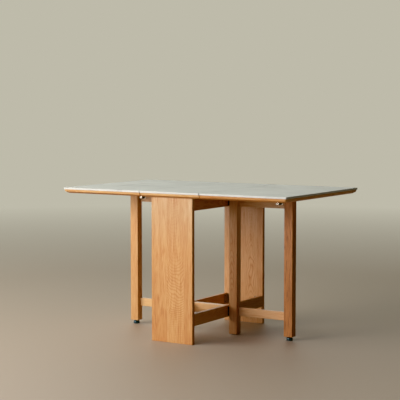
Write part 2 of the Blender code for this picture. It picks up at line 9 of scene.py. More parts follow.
import json
import logging
import math
import random
from collections.abc import Callable, Iterable, Sequence
from dataclasses import dataclass, field, replace
from enum import Enum

import bmesh
import bpy
from mathutils import Matrix, Vector

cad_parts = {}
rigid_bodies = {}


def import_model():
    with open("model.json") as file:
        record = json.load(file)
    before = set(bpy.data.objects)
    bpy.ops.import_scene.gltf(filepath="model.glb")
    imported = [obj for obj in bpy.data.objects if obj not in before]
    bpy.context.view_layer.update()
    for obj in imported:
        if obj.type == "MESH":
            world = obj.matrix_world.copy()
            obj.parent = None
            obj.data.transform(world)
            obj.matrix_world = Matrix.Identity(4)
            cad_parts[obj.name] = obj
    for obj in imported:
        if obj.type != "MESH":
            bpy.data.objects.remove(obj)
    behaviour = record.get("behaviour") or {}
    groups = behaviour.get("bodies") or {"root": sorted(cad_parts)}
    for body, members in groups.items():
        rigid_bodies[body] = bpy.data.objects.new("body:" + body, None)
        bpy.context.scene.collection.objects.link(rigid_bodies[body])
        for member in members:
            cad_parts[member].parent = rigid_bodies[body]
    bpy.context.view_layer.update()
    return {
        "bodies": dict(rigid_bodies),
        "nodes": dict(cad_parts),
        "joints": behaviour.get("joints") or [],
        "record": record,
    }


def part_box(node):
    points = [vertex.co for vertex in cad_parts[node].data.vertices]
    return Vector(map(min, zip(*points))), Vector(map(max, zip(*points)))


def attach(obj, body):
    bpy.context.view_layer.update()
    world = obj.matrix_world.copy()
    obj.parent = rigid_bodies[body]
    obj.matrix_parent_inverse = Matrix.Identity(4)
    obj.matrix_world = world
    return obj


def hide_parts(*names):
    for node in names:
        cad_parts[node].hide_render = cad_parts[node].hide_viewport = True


LOG = logging.getLogger("gateleg_table")
SEED = 41
MERGE_DISTANCE = 1e-6
SHARP_ANGLE = math.radians(40)
NOISE_MEAN = 0.5
NOISE_BODY = (0.3, 0.7)
WHITE = (1.0, 1.0, 1.0, 1.0)
SIDES: dict[str, int] = {"right": 1, "left": -1}
ENDS: dict[str, int] = {"front": -1, "rear": 1}

Colour = tuple[float, float, float]
Place = tuple[float, float, float]
Span = tuple[float, float]
Remap = tuple[float, float, float, float]
Socket = bpy.types.NodeSocket
Value = Socket | float


class Grain(Enum):
    """Which way the grain of an oak piece runs, as the order of its two cross axes and its long axis."""

    UPRIGHT = (0, 1, 2)
    LENGTHWISE = (1, 2, 0)
    CROSSWISE = (2, 0, 1)


class Tint(Enum):
    """What the colour of an oak piece is multiplied by: no two boards have quite the same hue. The bluish
    tint paints the colour of the light on pieces in shade, and the pink tint is partly the hue of the wood
    and partly painted colour of the light in shade.
    """

    PLAIN = (1.0, 1.0, 1.0)
    # Partly the wood's hue and partly painted colour of the light on pieces in shade.
    PINK = (1.06, 0.98, 1.06)
    PALE_PINK = (1.09, 1.05, 1.15)
    # Painted shade: the bluish light that falls on pieces in shade.
    GREYED = (0.95, 1.0, 1.30)
    WARM = (1.0, 0.985, 0.945)


class Slot(Enum):
    """The record's material slots."""

    OAK = "oak"
    STONE = "pale_stone"
    BLACK_STEEL = "black_steel"
    BRIGHT_STEEL = "bright_steel"
    BLACK_PLASTIC = "black_plastic"
    NYLON = "dark_nylon"


class Blend(Enum):
    """What a Mix node blends: its data type, and the places of its two inputs and of its output."""

    VECTOR = ("VECTOR", 4, 5, 1)
    COLOUR = ("RGBA", 6, 7, 2)


class Curve(Enum):
    """A tone curve of the picture, by its place among them."""

    BLUE = 2
    COMBINED = 3


class Graph:
    """The node tree of a material or of the world, built one socket at a time."""

    def __init__(self, owner: bpy.types.Material | bpy.types.World, shader: str) -> None:
        """Start from the owner's own shader.

        Args:
            owner: the new material or world.
            shader: the name of the shader node that it starts with.
        """
        owner.use_nodes = True
        self.owner = owner
        self.tree = owner.node_tree
        self.shader = self.tree.nodes[shader]

    @classmethod
    def of_material(cls, name: str) -> Graph:
        """Return the graph of a new material."""
        return cls(bpy.data.materials.new(name), "Principled BSDF")

    @classmethod
    def of_world(cls, name: str) -> Graph:
        """Return the graph of a new world."""
        return cls(bpy.data.worlds.new(name), "Background")

    def node(self, kind: str, inputs: dict[int | str, object], **settings: object) -> bpy.types.Node:
        """Add a node.

        Args:
            kind: the node's type name, without its ShaderNode prefix.
            inputs: values or sockets, by the name or the number of the input.
            settings: properties of the node.

        Returns:
            The new node.
        """
        made = self.tree.nodes.new("ShaderNode" + kind)
        for name, value in settings.items():
            setattr(made, name, value)
        for key, value in inputs.items():
            self.feed(made.inputs[key], value)
        return made

    def feed(self, target: Socket, value: object) -> None:
        """Link a socket to an input, or set the input's own value.

        Args:
            target: the input.
            value: a socket, or a plain value.
        """
        if isinstance(value, bpy.types.NodeSocket):
            self.tree.links.new(value, target)
        else:
            target.default_value = value

    def object_place(self) -> Socket:
        """Return the Object coordinates."""
        return self.node("TexCoord", {}).outputs["Object"]

    def attribute(self, name: str, output: str) -> Socket:
        """Return one output of a mesh attribute, Vector or Fac."""
        return self.node("Attribute", {}, attribute_name=name).outputs[output]

    def math(self, operation: str, first: Value, second: Value = 0.0, third: Value = 0.0) -> Socket:
        """Return the result of a Math node."""
        return self.node("Math", {0: first, 1: second, 2: third}, operation=operation).outputs[0]

    def vector(self, operation: str, first: object, second: object = (0.0, 0.0, 0.0)) -> Socket:
        """Return the vector that a Vector Math node makes."""
        return self.node("VectorMath", {0: first, 1: second}, operation=operation).outputs[0]

    def join(self, x: Value, y: Value, z: Value) -> Socket:
        """Return a vector made of three values."""
        return self.node("CombineXYZ", {0: x, 1: y, 2: z}).outputs[0]

    def split(self, vector: Socket) -> list[Socket]:
        """Return the three values of a vector."""
        return list(self.node("SeparateXYZ", {0: vector}).outputs)

    def noise(self, place: Socket, scale: float, detail: float = 2.0, output: str = "Fac") -> Socket:
        """Return a Noise texture's output at a place."""
        inputs = {"Vector": place, "Scale": scale, "Detail": detail}
        return self.node("TexNoise", inputs).outputs[output]

    def drift(self, place: Socket, scale: float, detail: float) -> Socket:
        """Return noise in three directions, with 0 as its mean."""
        colour = self.noise(place, scale, detail, "Color")
        return self.vector("SUBTRACT", colour, (NOISE_MEAN, NOISE_MEAN, NOISE_MEAN))

    def ramp(self, factor: Socket, stops: Sequence[tuple[float, Colour]]) -> Socket:
        """Return a colour from a ramp.

        Args:
            factor: the place along the ramp.
            stops: two or more pairs of a position and a colour, in order.

        Returns:
            The colour socket.
        """
        made = self.node("ValToRGB", {0: factor})
        elements = made.color_ramp.elements
        while len(elements) < len(stops):
            elements.new(0.5)
        for element, (position, colour) in zip(elements, stops):
            element.position = position
            element.color = (*colour, 1.0)
        return made.outputs[0]

    def remap(self, value: Socket, low: float, high: float, new_low: float, new_high: float) -> Socket:
        """Return a value moved from one range to another, and held inside it."""
        inputs = {0: value, 1: low, 2: high, 3: new_low, 4: new_high}
        return self.node("MapRange", inputs, clamp=True).outputs[0]

    def mix(self, factor: Value, first: object, second: object, kind: Blend = Blend.COLOUR) -> Socket:
        """Return a blend of two colours or of two vectors.

        Args:
            factor: the share of the second one.
            first: a plain value or a socket.
            second: a plain value or a socket.
            kind: whether they are colours or vectors.

        Returns:
            The socket of the blend.
        """
        data_type, first_place, second_place, output = kind.value
        inputs = {"Factor": factor, first_place: first, second_place: second}
        return self.node("Mix", inputs, data_type=data_type).outputs[output]

    def bump(self, height: Socket, strength: float, distance: float) -> None:
        """Feed a Bump node to the shader's normal."""
        inputs = {"Height": height, "Strength": strength, "Distance": distance}
        self.feed(self.shader.inputs["Normal"], self.node("Bump", inputs).outputs[0])

    def finish(self, colour: object, roughness: object, **constants: object) -> bpy.types.Material:
        """Feed the shader and return the material.

        Args:
            colour: the base colour.
            roughness: the roughness.
            constants: values of other shader inputs, with _ for each space in their names.

        Returns:
            The finished material.
        """
        self.feed(self.shader.inputs["Base Color"], colour)
        self.feed(self.shader.inputs["Roughness"], roughness)
        for name, value in constants.items():
            self.shader.inputs[name.replace("_", " ")].default_value = value
        return self.owner


@dataclass(frozen=True)
class Streak:
    """One layer of drawn-out noise in the oak: how often it changes in a metre, and how much it shows."""

    across: float
    along: float
    weight: float = 1.0


@dataclass(frozen=True)
class OakFinish:
    """Oiled honey oak: growth rings round each stave's heart, long streaks, and pores in the early wood.

    Every layer adds its share to one tone, which runs from pale at 0 to dark at 1.
    """

    pale: Colour = (0.735, 0.465, 0.205)
    honey: Colour = (0.605, 0.295, 0.092)
    brown: Colour = (0.515, 0.188, 0.044)
    dark: Colour = (0.24, 0.074, 0.017)
    honey_tone: float = 0.42
    brown_tone: float = 0.72
    broad: Streak = Streak(42.0, 2.4, 0.46)
    medium: Streak = Streak(150.0, 13.0, 0.52)
    dashes: Streak = Streak(215.0, 14.0, 0.24)
    dash_edge: Remap = (0.54, 0.66, 0.0, 1.0)
    dash_share: float = 0.2
    fine: Streak = Streak(560.0, 26.0, 0.30)
    pores: Streak = Streak(1150.0, 55.0, 0.26)
    pore_edge: Remap = (0.57, 0.68, 0.0, 1.0)
    ring_weight: float = 0.32
    ring_spacing: float = 0.0020
    ring_mean: float = 0.27
    early_wood: Remap = (0.0, 0.42, 1.0, 0.0)
    late_wood: Remap = (0.80, 1.0, 0.0, 0.6)
    ring_reach: Remap = (0.10, 0.19, 1.0, 0.15)
    ripple: Streak = Streak(24.0, 9.0, 0.005)
    patches: Streak = Streak(17.0, 8.0)
    patch_edge: Remap = (0.38, 0.58, 0.5, 1.0)
    wander: Span = (0.030, 0.045)
    wander_scale: float = 2.2
    wander_detail: float = 3.0
    scatter: Place = (37.1, 53.3, 71.7)
    # Painted sheen: towards the top of the table the slabs' colour is paled and blued, standing in for
    # light that the wood reflects there.
    painted_sheen_colour: Colour = (0.96, 1.10, 1.45)
    painted_sheen_rise: Remap = (0.455, 0.67, 0.0, 1.0)
    pore_relief: float = -1.0
    ring_relief: float = -0.25
    fine_relief: float = -0.2
    bump_strength: float = 0.12
    bump_depth: float = 0.0005
    gloss: Remap = (0.1, 0.9, 0.36, 0.56)
    coat: float = 0.12
    coat_roughness: float = 0.3

    def material(self, grain: Grain) -> bpy.types.Material:
        """Return the oak for pieces whose grain runs one way.

        Args:
            grain: the way the grain runs. Faces with a turn of 1 have X and Y swapped.

        Returns:
            A material that reads the turn of a piece's faces and the fields of their staves.
        """
        graph = Graph.of_material("oak_" + grain.name.lower())
        heart = graph.attribute("heart", "Vector")
        local = self._turned(graph, graph.vector("SUBTRACT", graph.object_place(), heart))
        strewn = graph.vector("ADD", local, graph.vector("MULTIPLY", heart, self.scatter))
        axes = self._axes(graph, local, grain)
        noise_axes = self._axes(graph, strewn, grain)
        radius = self._ring_radius(graph, axes, noise_axes)
        ring = graph.math("FRACT", graph.math("DIVIDE", radius, self.ring_spacing))
        early = graph.remap(ring, *self.early_wood)
        late = graph.remap(ring, *self.late_wood)
        ring_tone = graph.math("MULTIPLY", self._sum(graph, [(early, 1.0), (late, 1.0)], -self.ring_mean),
                               self._ring_clearness(graph, axes, noise_axes))
        dashes = graph.remap(self._streak(graph, noise_axes, self.dashes), *self.dash_edge)
        fine = self._streak(graph, noise_axes, self.fine)
        pore = graph.remap(self._streak(graph, noise_axes, self.pores), *self.pore_edge)
        pore_mark = graph.math("MULTIPLY", pore, early)
        # The ramp along the grain darkens or pales a stick towards one end; on some sticks it is painted
        # shade.
        ramped = graph.math("MULTIPLY", axes[2], graph.attribute("fade", "Fac"))
        terms = [(self._streak(graph, noise_axes, self.broad), self.broad.weight),
                 (self._streak(graph, noise_axes, self.medium), self.medium.weight),
                 (fine, self.fine.weight), (ring_tone, self.ring_weight), (dashes, self.dashes.weight),
                 (pore_mark, self.pores.weight), (graph.attribute("tone", "Fac"), 1.0), (ramped, 1.0)]
        level = self.honey_tone - NOISE_MEAN * (self.broad.weight + self.medium.weight + self.fine.weight)
        tone = self._sum(graph, terms, level - self.dash_share * self.dashes.weight)
        colour = graph.ramp(tone, [(0.0, self.pale), (self.honey_tone, self.honey),
                                   (self.brown_tone, self.brown), (1.0, self.dark)])
        marks = [(pore_mark, self.pore_relief), (ring_tone, self.ring_relief), (fine, self.fine_relief)]
        graph.bump(self._sum(graph, marks, 1.0), self.bump_strength, self.bump_depth)
        return graph.finish(self._tinted(graph, colour), graph.remap(tone, *self.gloss),
                            Coat_Weight=self.coat, Coat_Roughness=self.coat_roughness)

    def _tinted(self, graph: Graph, colour: Socket) -> Socket:
        """Paint a sheen of light onto a colour towards the top of the table, and give it the tint of its
        stave.

        Args:
            graph: the material's graph.
            colour: the colour of the wood.

        Returns:
            The colour that shows.
        """
        height = graph.split(graph.object_place())[2]
        upper = graph.remap(height, *self.painted_sheen_rise)
        # Painted sheen of light, strongest at the top of the slabs.
        painted_sheen = graph.math("MULTIPLY", upper, graph.attribute("painted_sheen", "Fac"))
        tint = graph.mix(painted_sheen, WHITE, (*self.painted_sheen_colour, 1.0))
        tint = graph.vector("MULTIPLY", tint, graph.attribute("tint", "Vector"))
        return graph.vector("MULTIPLY", colour, tint)

    @staticmethod
    def _turned(graph: Graph, local: Socket) -> Socket:
        """Swap X and Y where the turn attribute is 1.

        Args:
            graph: the material's graph.
            local: a place, measured from the heart.

        Returns:
            The place as the grain sees it.
        """
        x, y, z = graph.split(local)
        return graph.mix(graph.attribute("turn", "Fac"), local, graph.join(y, x, z), Blend.VECTOR)

    @staticmethod
    def _axes(graph: Graph, place: Socket, grain: Grain) -> list[Socket]:
        """Return a place's distances across, through and along the grain."""
        parts = graph.split(place)
        return [parts[axis] for axis in grain.value]

    def _ring_radius(self, graph: Graph, axes: list[Socket], noise_axes: list[Socket]) -> Socket:
        """Measure how far a place is from its stave's heart, which leans and wanders along the trunk.

        Args:
            graph: the material's graph.
            axes: the place's distances across, through and along the grain.
            noise_axes: the same, moved apart for each stave.

        Returns:
            The distance.
        """
        shifts = graph.split(graph.drift(graph.join(*noise_axes), self.wander_scale, self.wander_detail))
        across, through, along = axes
        through = graph.math("MULTIPLY_ADD", along, graph.attribute("lean", "Fac"), through)
        squares = []
        for shift, reach, distance in zip(shifts, self.wander, (across, through)):
            moved = graph.math("MULTIPLY_ADD", shift, reach, distance)
            squares.append(graph.math("MULTIPLY", moved, moved))
        radius = graph.math("SQRT", graph.math("ADD", *squares))
        ripple = graph.math("SUBTRACT", self._streak(graph, noise_axes, self.ripple), NOISE_MEAN)
        return graph.math("MULTIPLY_ADD", ripple, self.ripple.weight, radius)

    def _ring_clearness(self, graph: Graph, axes: list[Socket], noise_axes: list[Socket]) -> Socket:
        """Say how clearly the rings show: near the heart point, in patches, and by the stave's figure.

        Args:
            graph: the material's graph.
            axes: a place's distances across, through and along the grain.
            noise_axes: the same, moved apart for each stave.

        Returns:
            The clearness.
        """
        near = graph.remap(graph.math("ABSOLUTE", axes[2]), *self.ring_reach)
        patches = graph.remap(self._streak(graph, noise_axes, self.patches), *self.patch_edge)
        clear = graph.math("MULTIPLY", near, patches)
        return graph.math("MULTIPLY", clear, graph.attribute("figure", "Fac"))

    @staticmethod
    def _streak(graph: Graph, axes: list[Socket], streak: Streak) -> Socket:
        """Draw noise out along the grain.

        Args:
            graph: the material's graph.
            axes: a place's distances across, through and along the grain.
            streak: how often the noise changes.

        Returns:
            The noise.
        """
        rates = (streak.across, streak.across, streak.along)
        place = graph.join(*(graph.math("MULTIPLY", axis, rate) for axis, rate in zip(axes, rates)))
        return graph.noise(place, 1.0)

    @staticmethod
    def _sum(graph: Graph, terms: Iterable[tuple[Socket, float]], start: float) -> Socket:
        """Add weighted values up.

        Args:
            graph: the material's graph.
            terms: pairs of a value and its weight.
            start: what they are added to.

        Returns:
            The sum.
        """
        total: Value = start
        for value, weight in terms:
            total = graph.math("MULTIPLY_ADD", value, weight, total)
        return total


@dataclass(frozen=True)
class Vein:
    """One set of veins in the stone: how often they turn in a metre, their width and their strength."""

    scale: float
    width: float
    strength: float


@dataclass(frozen=True)
class StoneFinish:
    """Pale sintered stone: soft clouds, a few thin grey veins and a satin face."""

    base: Colour = (0.75, 0.775, 0.745)
    cloud: Colour = (0.645, 0.67, 0.64)
    vein: Colour = (0.46, 0.465, 0.44)
    warp: float = 0.35
    warp_scale: float = 2.0
    warp_detail: float = 4.0
    cloud_scale: float = 4.2
    cloud_detail: float = 5.0
    cloud_edge: Remap = (0.35, 0.68, 0.0, 1.0)
    veins: tuple[Vein, ...] = (Vein(1.5, 0.022, 0.55), Vein(4.05, 0.016, 0.30))
    vein_detail: float = 6.0
    patch_rate: float = 1.3
    patch_detail: float = 1.0
    patch_edge: Remap = (0.42, 0.62, 0.0, 1.0)
    speck_scale: float = 900.0
    speck_detail: float = 1.0
    gloss: Span = (0.40, 0.50)
    specular: float = 0.40
    bump_strength: float = 0.05
    bump_depth: float = 0.0001

    def material(self) -> bpy.types.Material:
        """Mix the stone.

        Returns:
            A material whose veins run on from panel to panel.
        """
        graph = Graph.of_material("pale_stone")
        place = graph.object_place()
        drift = graph.drift(place, self.warp_scale, self.warp_detail)
        push = graph.vector("MULTIPLY", drift, (self.warp, self.warp, self.warp))
        bent = graph.vector("ADD", place, push)
        clouds = graph.remap(graph.noise(bent, self.cloud_scale, self.cloud_detail), *self.cloud_edge)
        colour = graph.mix(clouds, (*self.base, 1.0), (*self.cloud, 1.0))
        for vein in self.veins:
            away = graph.math("SUBTRACT", graph.noise(bent, vein.scale, self.vein_detail), NOISE_MEAN)
            line = graph.remap(graph.math("ABSOLUTE", away), 0.0, vein.width, vein.strength, 0.0)
            patches = graph.noise(place, self.patch_rate * vein.scale, self.patch_detail)
            shown = graph.math("MULTIPLY", line, graph.remap(patches, *self.patch_edge))
            colour = graph.mix(shown, colour, (*self.vein, 1.0))
        specks = graph.noise(place, self.speck_scale, self.speck_detail)
        graph.bump(specks, self.bump_strength, self.bump_depth)
        roughness = graph.remap(specks, *NOISE_BODY, *self.gloss)
        return graph.finish(colour, roughness, Specular_IOR_Level=self.specular)


@dataclass(frozen=True)
class HardFinish:
    """A metal or plastic finish: faint mottling, uneven gloss and a fine surface texture."""

    name: str
    colour: Colour
    worn: Colour
    gloss: Span
    metallic: float = 0.0
    coat: float = 0.0
    glint: Colour = (1.0, 1.0, 1.0)
    mottle_scale: float = 60.0
    mottle_detail: float = 4.0
    mottle_edge: Remap = (0.35, 0.75, 0.0, 1.0)
    texture_scale: float = 1500.0
    texture_strength: float = 0.3
    texture_depth: float = 0.00004

    def material(self) -> bpy.types.Material:
        """Mix the finish.

        Returns:
            The material.
        """
        graph = Graph.of_material(self.name)
        place = graph.object_place()
        mottle = graph.remap(graph.noise(place, self.mottle_scale, self.mottle_detail), *self.mottle_edge)
        colour = graph.mix(mottle, (*self.colour, 1.0), (*self.worn, 1.0))
        texture = graph.noise(place, self.texture_scale)
        graph.bump(texture, self.texture_strength, self.texture_depth)
        roughness = graph.remap(texture, *NOISE_BODY, *self.gloss)
        return graph.finish(colour, roughness, Metallic=self.metallic, Coat_Weight=self.coat,
                            Specular_Tint=(*self.glint, 1.0))


class Palette:
    """Every finish of the table, made once."""

    def __init__(self) -> None:
        """Make the materials."""
        oak = OakFinish()
        self.oak = {grain: oak.material(grain) for grain in Grain}
        self.hard: dict[Slot, bpy.types.Material] = {
            Slot.STONE: StoneFinish().material(),
            Slot.BLACK_STEEL: HardFinish("black_steel", (0.016, 0.016, 0.018), (0.030, 0.029, 0.028),
                                         (0.34, 0.50), metallic=0.6).material(),
            Slot.BRIGHT_STEEL: HardFinish("bright_steel", (0.62, 0.61, 0.59), (0.50, 0.49, 0.47),
                                          (0.22, 0.34), metallic=1.0).material(),
            Slot.BLACK_PLASTIC: HardFinish("black_plastic", (0.010, 0.011, 0.015), (0.014, 0.015, 0.019),
                                           (0.10, 0.22), coat=0.4).material(),
            Slot.NYLON: HardFinish("dark_nylon", (0.030, 0.028, 0.026), (0.045, 0.042, 0.038),
                                   (0.50, 0.70)).material(),
        }
        self.bronzed_steel = HardFinish("bronzed_steel", (0.42, 0.265, 0.175), (0.32, 0.20, 0.13),
                                        (0.42, 0.58), metallic=0.2).material()
        self.nickel = HardFinish("polished_nickel", (0.93, 0.87, 0.79), (0.84, 0.78, 0.70), (0.16, 0.27),
                                 metallic=1.0).material()
        self.foot_gloss = HardFinish("blue_black_gloss", (0.008, 0.034, 0.052), (0.011, 0.042, 0.062),
                                     (0.07, 0.14), coat=0.5, glint=(0.45, 0.85, 1.0)).material()


def box_of(node: str) -> tuple[Vector, Vector]:
    """Return the lowest and highest corner of a node, at rest."""
    low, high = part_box(node)
    return Vector(low), Vector(high)


def dress(item: bpy.types.Object, material: bpy.types.Material) -> None:
    """Give a node of the frame a finish."""
    item.data.materials.clear()
    item.data.materials.append(material)


def part_slopes(mesh: bpy.types.Mesh) -> None:
    """Mark the level edges of a mesh sharp, so that each slope between them shades by itself.

    Args:
        mesh: the mesh of a piece with sloped edges.
    """
    for edge in mesh.edges:
        first, second = (mesh.vertices[index].co.z for index in edge.vertices)
        if abs(first - second) < MERGE_DISTANCE:
            edge.use_edge_sharp = True


def add_piece(name: str, bm: bmesh.types.BMesh, material: bpy.types.Material, body: str,
              replaced: str | None = None, sloped_edges: bool = False) -> None:
    """Make a finished bmesh into a piece that rides on a body.

    Args:
        name: the piece's name.
        bm: its shape, in table coordinates. It is freed.
        material: its finish.
        body: the body that carries it.
        replaced: the node that it stands for, if any.
        sloped_edges: whether its edges are made of slopes that shade by themselves.
    """
    mesh = bpy.data.meshes.new(name)
    bm.to_mesh(mesh)
    bm.free()
    mesh.shade_smooth()
    mesh.set_sharp_from_angle(angle=SHARP_ANGLE)
    if sloped_edges:
        part_slopes(mesh)
    mesh.materials.append(material)
    piece = bpy.data.objects.new(name, mesh)
    bpy.context.scene.collection.objects.link(piece)
    piece.modifiers.new("broad_faces_stay_flat", "WEIGHTED_NORMAL").keep_sharp = True
    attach(piece, body)
    if replaced:
        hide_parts(replaced)
    LOG.info("%s rides on %s, %d faces", name, body, len(mesh.polygons))


def block(low: Vector, high: Vector) -> bmesh.types.BMesh:
    """Start a piece from a bare block.

    Args:
        low: its lowest corner.
        high: its highest corner.

    Returns:
        A bmesh that is ready to be worked.
    """
    bm = bmesh.new()
    place = Matrix.Translation((low + high) / 2) @ Matrix.Diagonal((*(high - low), 1.0))
    bmesh.ops.create_cube(bm, size=1.0, matrix=place)
    return bm


def ease(bm: bmesh.types.BMesh, edges: Sequence[bmesh.types.BMEdge], width: float, segments: int) -> None:
    """Round edges off, and weld the points that meet where corners close up."""
    bmesh.ops.bevel(bm, geom=edges, offset=width, segments=segments, profile=0.5, affect="EDGES",
                    clamp_overlap=True, material=-1)
    bmesh.ops.remove_doubles(bm, verts=bm.verts, dist=MERGE_DISTANCE)


def split_at(bm: bmesh.types.BMesh, point: Sequence[float], normal: Sequence[float]) -> None:
    """Cut every face where a plane crosses it."""
    geometry = bm.verts[:] + bm.edges[:] + bm.faces[:]
    bmesh.ops.bisect_plane(bm, geom=geometry, dist=MERGE_DISTANCE, plane_co=point, plane_no=normal)


def lathe(profile: Sequence[Span], place: Vector, steps: int) -> bmesh.types.BMesh:
    """Turn a shape round an upright axis.

    Args:
        profile: (radius, height) points, from the axis at the bottom to the axis at the top.
        place: where the axis meets height 0.
        steps: facets round the axis.

    Returns:
        A closed bmesh.
    """
    bm = bmesh.new()
    points = [bm.verts.new((radius, 0.0, height)) for radius, height in profile]
    edges = [bm.edges.new(pair) for pair in zip(points, points[1:])]
    bmesh.ops.spin(bm, geom=points + edges, axis=(0, 0, 1), cent=(0, 0, 0), angle=math.tau, steps=steps,
                   use_merge=True)
    bmesh.ops.remove_doubles(bm, verts=bm.verts, dist=MERGE_DISTANCE)
    bmesh.ops.recalc_face_normals(bm, faces=bm.faces)
    bmesh.ops.translate(bm, vec=place, verts=bm.verts)
    return bm


def eased_bottom(radius: float, edge: float, curve: Sequence[Span]) -> list[Span]:
    """Start the profile of a turned piece with a flat bottom and an eased lower edge.

    Args:
        radius: the radius of the piece.
        edge: how far its lower edge is eased.
        curve: shares of that edge, inwards and upwards, from the bottom up.

    Returns:
        (radius, height) points.
    """
    return [(0.0, 0.0)] + [(radius - inwards * edge, upwards * edge) for inwards, upwards in curve]


class Sawn(Enum):
    """How a stave was sawn: the angle from it to the heart of the tree, its lean, and how far off it is."""

    STRAIGHT = (0.0, 0.0, 0.09)
    ARCHED_FRONT = (math.pi / 2, 0.13, 0.36)
    ARCHED_REAR = (-math.pi / 2, 0.065, 0.125)


@dataclass(frozen=True)
class Stave:
    """A stick of oak.

    The heart is a point in the middle of the tree it came from. The lean is how far the sawn face runs out
    of line with the trunk. The tone is how much darker than honey the stick is at the heart point, the tone
    and shade ramp is how much that grows in a metre along the grain, on some sticks as painted shade, the
    painted sheen is how much its upper end is paled by a painted sheen of light, the figure is how strongly
    its rings show, and the tint is its hue, which on some sticks is painted colour of the light in shade.
    """

    heart: Vector
    lean: float
    tone: float
    fade: float = 0.0
    painted_sheen: float = 0.0
    figure: float = 1.0
    tint: Tint = Tint.PLAIN


def mark_staves(bm: bmesh.types.BMesh, rule: Callable[[Vector], Stave]) -> None:
    """Give each face the fields of its stave as attributes, which the oak reads.

    Args:
        bm: the shape of an oak piece.
        rule: picks the stave by the middle of a face.
    """
    hearts = bm.faces.layers.float_vector.new("heart")
    tints = bm.faces.layers.float_vector.new("tint")
    names = ("lean", "tone", "fade", "painted_sheen", "figure")
    layers = {name: bm.faces.layers.float.new(name) for name in names}
    for face in bm.faces:
        stave = rule(face.calc_center_median())
        face[hearts] = stave.heart
        face[tints] = stave.tint.value
        for name, layer in layers.items():
            face[layer] = getattr(stave, name)


def mark_turns(bm: bmesh.types.BMesh, rule: Callable[[Vector], bool]) -> None:
    """Mark the faces whose grain runs across that of the rest of the piece.

    Args:
        bm: the shape of an oak piece.
        rule: says whether a face is turned, by its middle.
    """
    layer = bm.faces.layers.float.new("turn")
    for face in bm.faces:
        face[layer] = float(rule(face.calc_center_median()))


@dataclass
class Lumberyard:
    """Picks staves: how far off the heart lay, in which direction, and the tone of the wood."""

    draws: random.Random = field(default_factory=lambda: random.Random(SEED))
    near: float = 0.060
    far: float = 0.120
    shift_spread: float = 0.1
    tone_spread: float = 0.05
    lean_spread: float = 0.03

    def stave(self, middle: Vector, grain: Grain, tone: float = 0.0, sawn: Sawn | None = None) -> Stave:
        """Pick one stave.

        Args:
            middle: the middle of the stave.
            grain: the way its grain runs.
            tone: how much darker or, below 0, paler than usual it is.
            sawn: how it was sawn, or None to draw that.

        Returns:
            The stave, with a point on its heart's line.
        """
        angle = self.draws.uniform(0, math.tau)
        lean = self.draws.uniform(-self.lean_spread, self.lean_spread)
        reach = self.draws.uniform(self.near, self.far)
        shift = self.draws.uniform(-self.shift_spread, self.shift_spread)
        if sawn:
            angle, lean, reach = sawn.value
            shift = 0.0
        across, through, along = grain.value
        heart = middle.copy()
        heart[across] += reach * math.cos(angle)
        heart[through] += reach * math.sin(angle)
        heart[along] += shift
        return Stave(heart, lean, tone + self.draws.uniform(-self.tone_spread, self.tone_spread))


